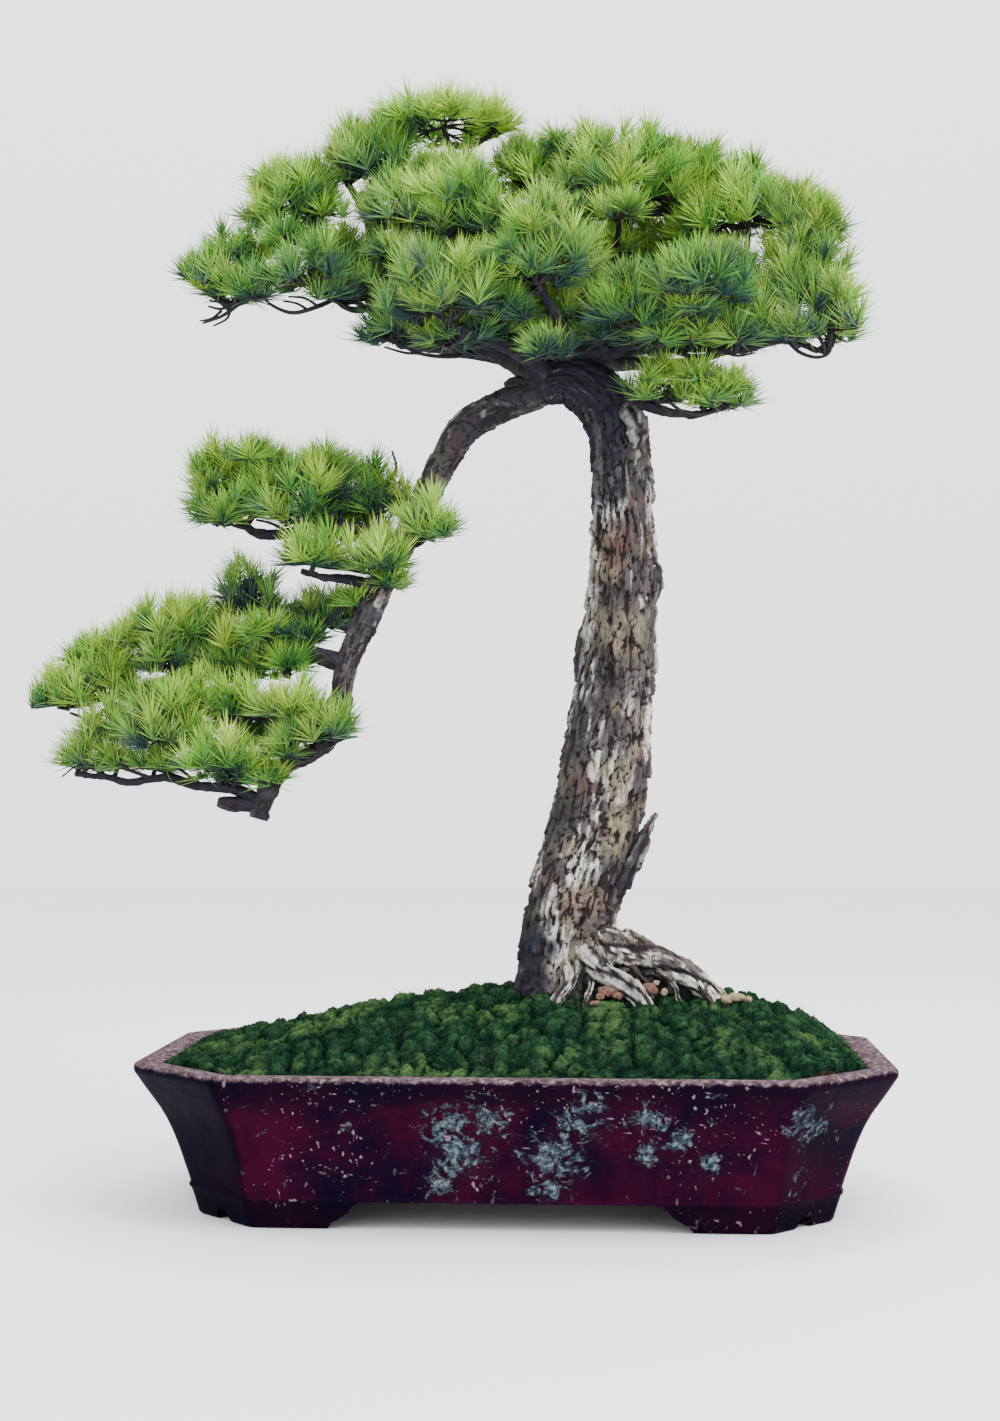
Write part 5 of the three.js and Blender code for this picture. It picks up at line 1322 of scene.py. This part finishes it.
def glaze_material():
    """Plum glaze with painted shade that makes the cut corners almost black, with mineral crust and a
    limy rim.
    """
    s = Shader("plum_glaze", roughness=0.3, shine=0.01)
    s.surface.inputs["IOR"].default_value = 1.3
    x, y, z = s.axes()
    height = z / (RIM_HEIGHT * MM)
    clouds = s.noise(7.0, 3.0, 0.6, (1, 1, 1.5), 0.4)
    streaks = s.noise(34, 4.0, 0.6, (1, 1, 0.35), 0.3)
    glaze = s.ramp(
        clouds * 0.68 + streaks * 0.32,
        (0.32, (0.0028, 0.0019, 0.0078)),
        (0.42, (0.0052, 0.0017, 0.0085)),
        (0.51, (0.0140, 0.0014, 0.0100)),
        (0.64, (0.0290, 0.0015, 0.0125)),
    )
    band = s.ramp(height, (0.0, 0.6), (0.17, 0.68), (0.2, 0.0), (0.24, 0.0), (0.80, 0.1), (0.93, 0.7))
    glaze = s.mix(band, glaze, (0.0028, 0.0016, 0.006))

    # Painted shade: the cut corners are painted almost black, most of all at the left. Across such a
    # corner the distances from the pot's two middle planes add up to a sum that grows with height.
    aside, ahead = x - ORIGIN[0], y - ORIGIN[1]
    at_corner = s.ramp(
        height, (0.06, 0.541), (0.2, 0.555), (0.46, 0.576), (0.63, 0.595), (0.76, 0.618), (0.93, 0.647)
    )
    corner = s.ramp(abs(aside) + abs(ahead) - at_corner + 0.5, (0.492, 0), (0.497, 1))
    black = corner * s.ramp(aside + 0.5, (0.3, 0.92), (0.4, 0.35))
    glaze = s.mix(black, glaze, (0.0022, 0.0015, 0.0058))

    # Pale mineral crust: deposits that thin out round the middle of each patch, and loose specks
    patch = 0.0
    for *middle, radius in CRUST_PATCHES:
        patch = s.math("MAXIMUM", patch, s.near(middle, radius, (0.0, 1), (1.0, 0)))
    clean = 1.0 - s.ramp(black, (0.2, 0), (0.7, 1))
    thick = s.noise(58, 5.0, 0.62, distortion=0.9) + (patch - 1.0) * 0.285
    deposit = s.ramp(thick, (0.35, 0), (0.44, 1)) * clean
    haze = patch * s.ramp(s.noise(40, 3.0, offset=2), (0.42, 0), (0.62, 0.4))
    specks = s.ramp(s.noise(170, 2.0, 0.5, (1, 1, 0.7), offset=11), (0.685, 0), (0.71, 1))
    drips = s.ramp(s.noise(110, 2.0, 0.5, (1, 1, 0.4), offset=4), (0.68, 0), (0.71, 1))
    dashes = s.ramp(s.noise(115, 2.0, 0.5, (0.45, 1, 1.3), offset=21), (0.695, 0), (0.725, 1))
    loose = s.math("MAXIMUM", s.math("MAXIMUM", specks, drips), dashes)
    loose = loose * s.ramp(s.noise(9.0, 2.0, offset=31), (0.44, 0.0), (0.56, 1)) * clean
    crust = s.ramp(
        s.noise(170, 4.0, 0.7),
        (0.36, (0.010, 0.014, 0.025)),
        (0.5, (0.038, 0.053, 0.068)),
        (0.66, (0.145, 0.185, 0.195)),
    )
    colour = s.mix(haze, glaze, (0.010, 0.009, 0.022))
    colour = s.mix(deposit, colour, crust)
    colour = s.mix(loose * 0.6, colour, (0.24, 0.19, 0.22))

    # The rim's flat top is crusted with lime
    rim = s.ramp(height + (s.noise(90, 3.0) - 0.5) * 0.06, (0.972, 0), (0.99, 1))
    lime = s.ramp(
        s.noise(130, 5.0, 0.7),
        (0.36, (0.026, 0.014, 0.021)),
        (0.5, (0.076, 0.048, 0.056)),
        (0.7, (0.23, 0.185, 0.19)),
    )
    colour = s.mix(rim, colour, lime)
    rough = s.math("MAXIMUM", s.math("MAXIMUM", deposit, loose), rim)
    rough = s.math("MAXIMUM", rough, haze * 0.6, clamp=True)
    wave = s.bump(s.noise(11, 2.0, offset=3), 0.0035)
    normal = s.bump(s.math("MAXIMUM", deposit, rim), 0.0012, wave)
    normal = s.bump(s.noise(240, 4.0, 0.65), 0.0006, normal)
    return s.finish(colour, s.ramp(rough, (0.0, 0.3), (1.0, 0.9)), normal)


def stone_material(name, dark, pale):
    s = Shader(name, roughness=0.8)
    grain = s.noise(330, 4.0, 0.65)
    return s.finish(s.ramp(grain, (0.3, dark), (0.7, pale)), normal=s.bump(grain, 0.0012))


def floor_material():
    s = Shader("pale_floor", roughness=0.7)
    clouds = s.noise(2.0, 2.0)
    return s.finish(s.ramp(clouds, (0.3, (0.760, 0.764, 0.768)), (0.7, (0.770, 0.774, 0.778))))


# Stage
def in_row(place):
    """A place in the row frame's metres."""
    return Vector(np.array(place) * MM + ORIGIN)


def softbox(name, place, size, power):
    """A square area light."""
    lamp = bpy.data.lights.new(name, "AREA")
    lamp.energy, lamp.size = power, size
    box = add_object(name, lamp)
    box.location = in_row(place)
    aim = in_row(LIGHT_TARGET) - box.location
    box.rotation_euler = aim.to_track_quat("-Z", "Y").to_euler()


def studio_sky():
    """A soft even sky, a little brighter overhead than at the horizon."""
    world = bpy.data.worlds.new("studio")
    world.use_nodes = True
    tree = world.node_tree
    background = tree.nodes["Background"]
    background.inputs["Strength"].default_value = SKY["strength"]
    direction = tree.nodes.new("ShaderNodeTexCoord")
    parts = tree.nodes.new("ShaderNodeSeparateXYZ")
    dome = tree.nodes.new("ShaderNodeMix")
    dome.data_type = "RGBA"
    dome.inputs[6].default_value = (*SKY["horizon"], 1)
    dome.inputs[7].default_value = (*SKY["zenith"], 1)
    tree.links.new(direction.outputs["Generated"], parts.inputs[0])
    tree.links.new(parts.outputs["Z"], dome.inputs[0])
    tree.links.new(dome.outputs[2], background.inputs["Color"])
    bpy.context.scene.world = world


def photo_camera():
    """A camera at the photo's viewing angle."""
    data = bpy.data.cameras.new("camera")
    data.lens, data.clip_end = CAMERA["lens"], CAMERA["clip"]
    camera = add_object("camera", data)
    camera.location = in_row(CAMERA["place"])
    azimuth, pitch = math.radians(CAMERA["azimuth"]), math.radians(CAMERA["pitch"])
    way = Vector((
        -math.sin(azimuth) * math.cos(pitch), math.cos(azimuth) * math.cos(pitch), math.sin(pitch)
    ))
    camera.rotation_euler = way.to_track_quat("-Z", "Y").to_euler()
    bpy.context.scene.camera = camera


# Wood
bark = bark_material()
trunk_bark = flaky_bark(*BARK["trunk"], trunk_painted_shade)
trunk = tube(TRUNK[: TRUNK_BEND + 1], bark=trunk_bark, **TRUNK_MESH)
make_piece("trunk_bark", [trunk], bark, ["wood"])
roots = [
    tube(line, bark=gnarled_root(i, LOOSE_PAINTED_SHADE["slab"]), **SLAB_MESH)
    for i, line in enumerate(BARK_SLABS)
]
roots += [
    tube(line, bark=gnarled_root(20 + i, *ROOT_TONES[name]), **ROOT_MESH)
    for i, (name, line) in enumerate(ROOTS.items())
]
roots += [
    tube(line, bark=gnarled_root(40 + i, LOOSE_PAINTED_SHADE["shaded" if i < 2 else "open"]), **ROOTLET_MESH)
    for i, line in enumerate(ROOTLETS)
]
make_piece("gnarled_roots", roots, bark, ["wood"])

# The cascading limb carries uneven painted shade, heavier near its start under the arch
limb_bark = flaky_bark(
    *BARK["limb"],
    lambda p: 0.36 + 0.42 * smooth_noise(p, 60, 3) + 0.34 * smoothstep(-90, -20, p[..., 0]),
)
# Side limbs and branchlets carry heavy painted shade, the shade of the foliage over them
side_bark = flaky_bark(*BARK["side"], lambda p: 0.88 + 0.12 * smooth_noise(p, 40, 5))
cascade = [(*TRUNK[TRUNK_BEND - 1][:3], CASCADE_START), *TRUNK[TRUNK_BEND:]]
limbs = [tube(cascade, bark=limb_bark, **CASCADE_MESH)]
limbs += [tube(line, bark=side_bark, **LIMB_MESH) for line in LIMBS.values()]
# Hanging twigs carry strong painted shade in their fourth mask
limbs += [tube(line, masks=(0.3, 0.4, 0.5, 0.8), **THIN_MESH) for line in HANGING_TWIGS]

# Branchlets: a small cluster belongs to the nearest pad's node
source = random_source(SEEDS["branchlets"])
branches = [TRUNK[TRUNK_BEND:], *LIMBS.values()]
pads = {f"crown_pad_{i:02d}": pad for i, pad in enumerate(CROWN_PADS, 1)}
pads |= {f"cascade_pad_{i:02d}": pad for i, pad in enumerate(CASCADE_PADS, 1)}
plans = {f"{node}_needles": (pad_plan(pad, branches, source), node) for node, pad in pads.items()}
pad_places = np.array(list(pads.values()), float)[:, :3]
for region, clusters in (("crown", CROWN_CLUSTERS), ("cascade", CASCADE_CLUSTERS)):
    for number, cluster in enumerate(clusters, 1):
        nearest = np.argmin(np.linalg.norm(pad_places - cluster[:3], axis=1))
        plan = pad_plan(cluster, branches, source)
        plans[f"{region}_cluster_{number:02d}"] = (plan, list(pads)[nearest])
limbs += [
    tube(plan["branchlet"], bark=side_bark, **BRANCHLET_MESH)
    for plan, _ in plans.values() if plan["branchlet"] is not None
]
make_piece("limbs", limbs, bark, ["wood"])

# Needles
rng = np.random.default_rng(SEEDS["needles"])
leaf = needle_material()
twig_bark = twig_material()
twigs = {"crown": [], "cascade": []}
for name, (plan, node) in plans.items():
    region = node.split("_")[0]
    shoots = shoots_of(plan, PAD_SHADE.get(node, REGION_SHADE[region]), rng)
    make_piece(name, [needles_of(shoots, rng)], leaf, [node], smooth=False)
    twigs[region] += twigs_of(plan, shoots, rng)
for region, parts in twigs.items():
    make_piece(f"{region}_twigs", parts, twig_bark, ["wood"])

# Moss, stones, soil, screens and pot
moss = moss_material()
make_piece("moss_cushions", [moss_cover()], moss, ["moss"])
make_piece("moss_stems", [moss_stems(rng)], moss, ["moss"], smooth=False)
for name, (dark, pale, stones) in PEBBLES.items():
    parts = [pebble(np.array(p[:3]), p[3:], SEEDS["stones"] + i) for i, p in enumerate(stones)]
    make_piece(name, parts, stone_material(name, dark, pale))
screen = screen_material()
shown = {"soil": soil_material(), "drain_screen_left": screen, "drain_screen_right": screen}
for node, material in shown.items():
    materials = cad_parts[node].data.materials
    materials.clear()
    materials.append(material)
pot_piece(glaze_material())

# Floor, light and camera
half = FLOOR["half"] * MM
floor_mesh = bpy.data.meshes.new("floor")
floor_mesh.from_pydata(
    [(-half, -half, 0), (half, -half, 0), (half, half, 0), (-half, half, 0)], [], [(0, 1, 2, 3)]
)
floor_mesh.materials.append(floor_material())
floor = add_object("floor", floor_mesh)
floor.location.z = pot_low.z - FLOOR["below"] * MM
studio_sky()
for name, light in LIGHTS.items():
    softbox(name, *light)
photo_camera()
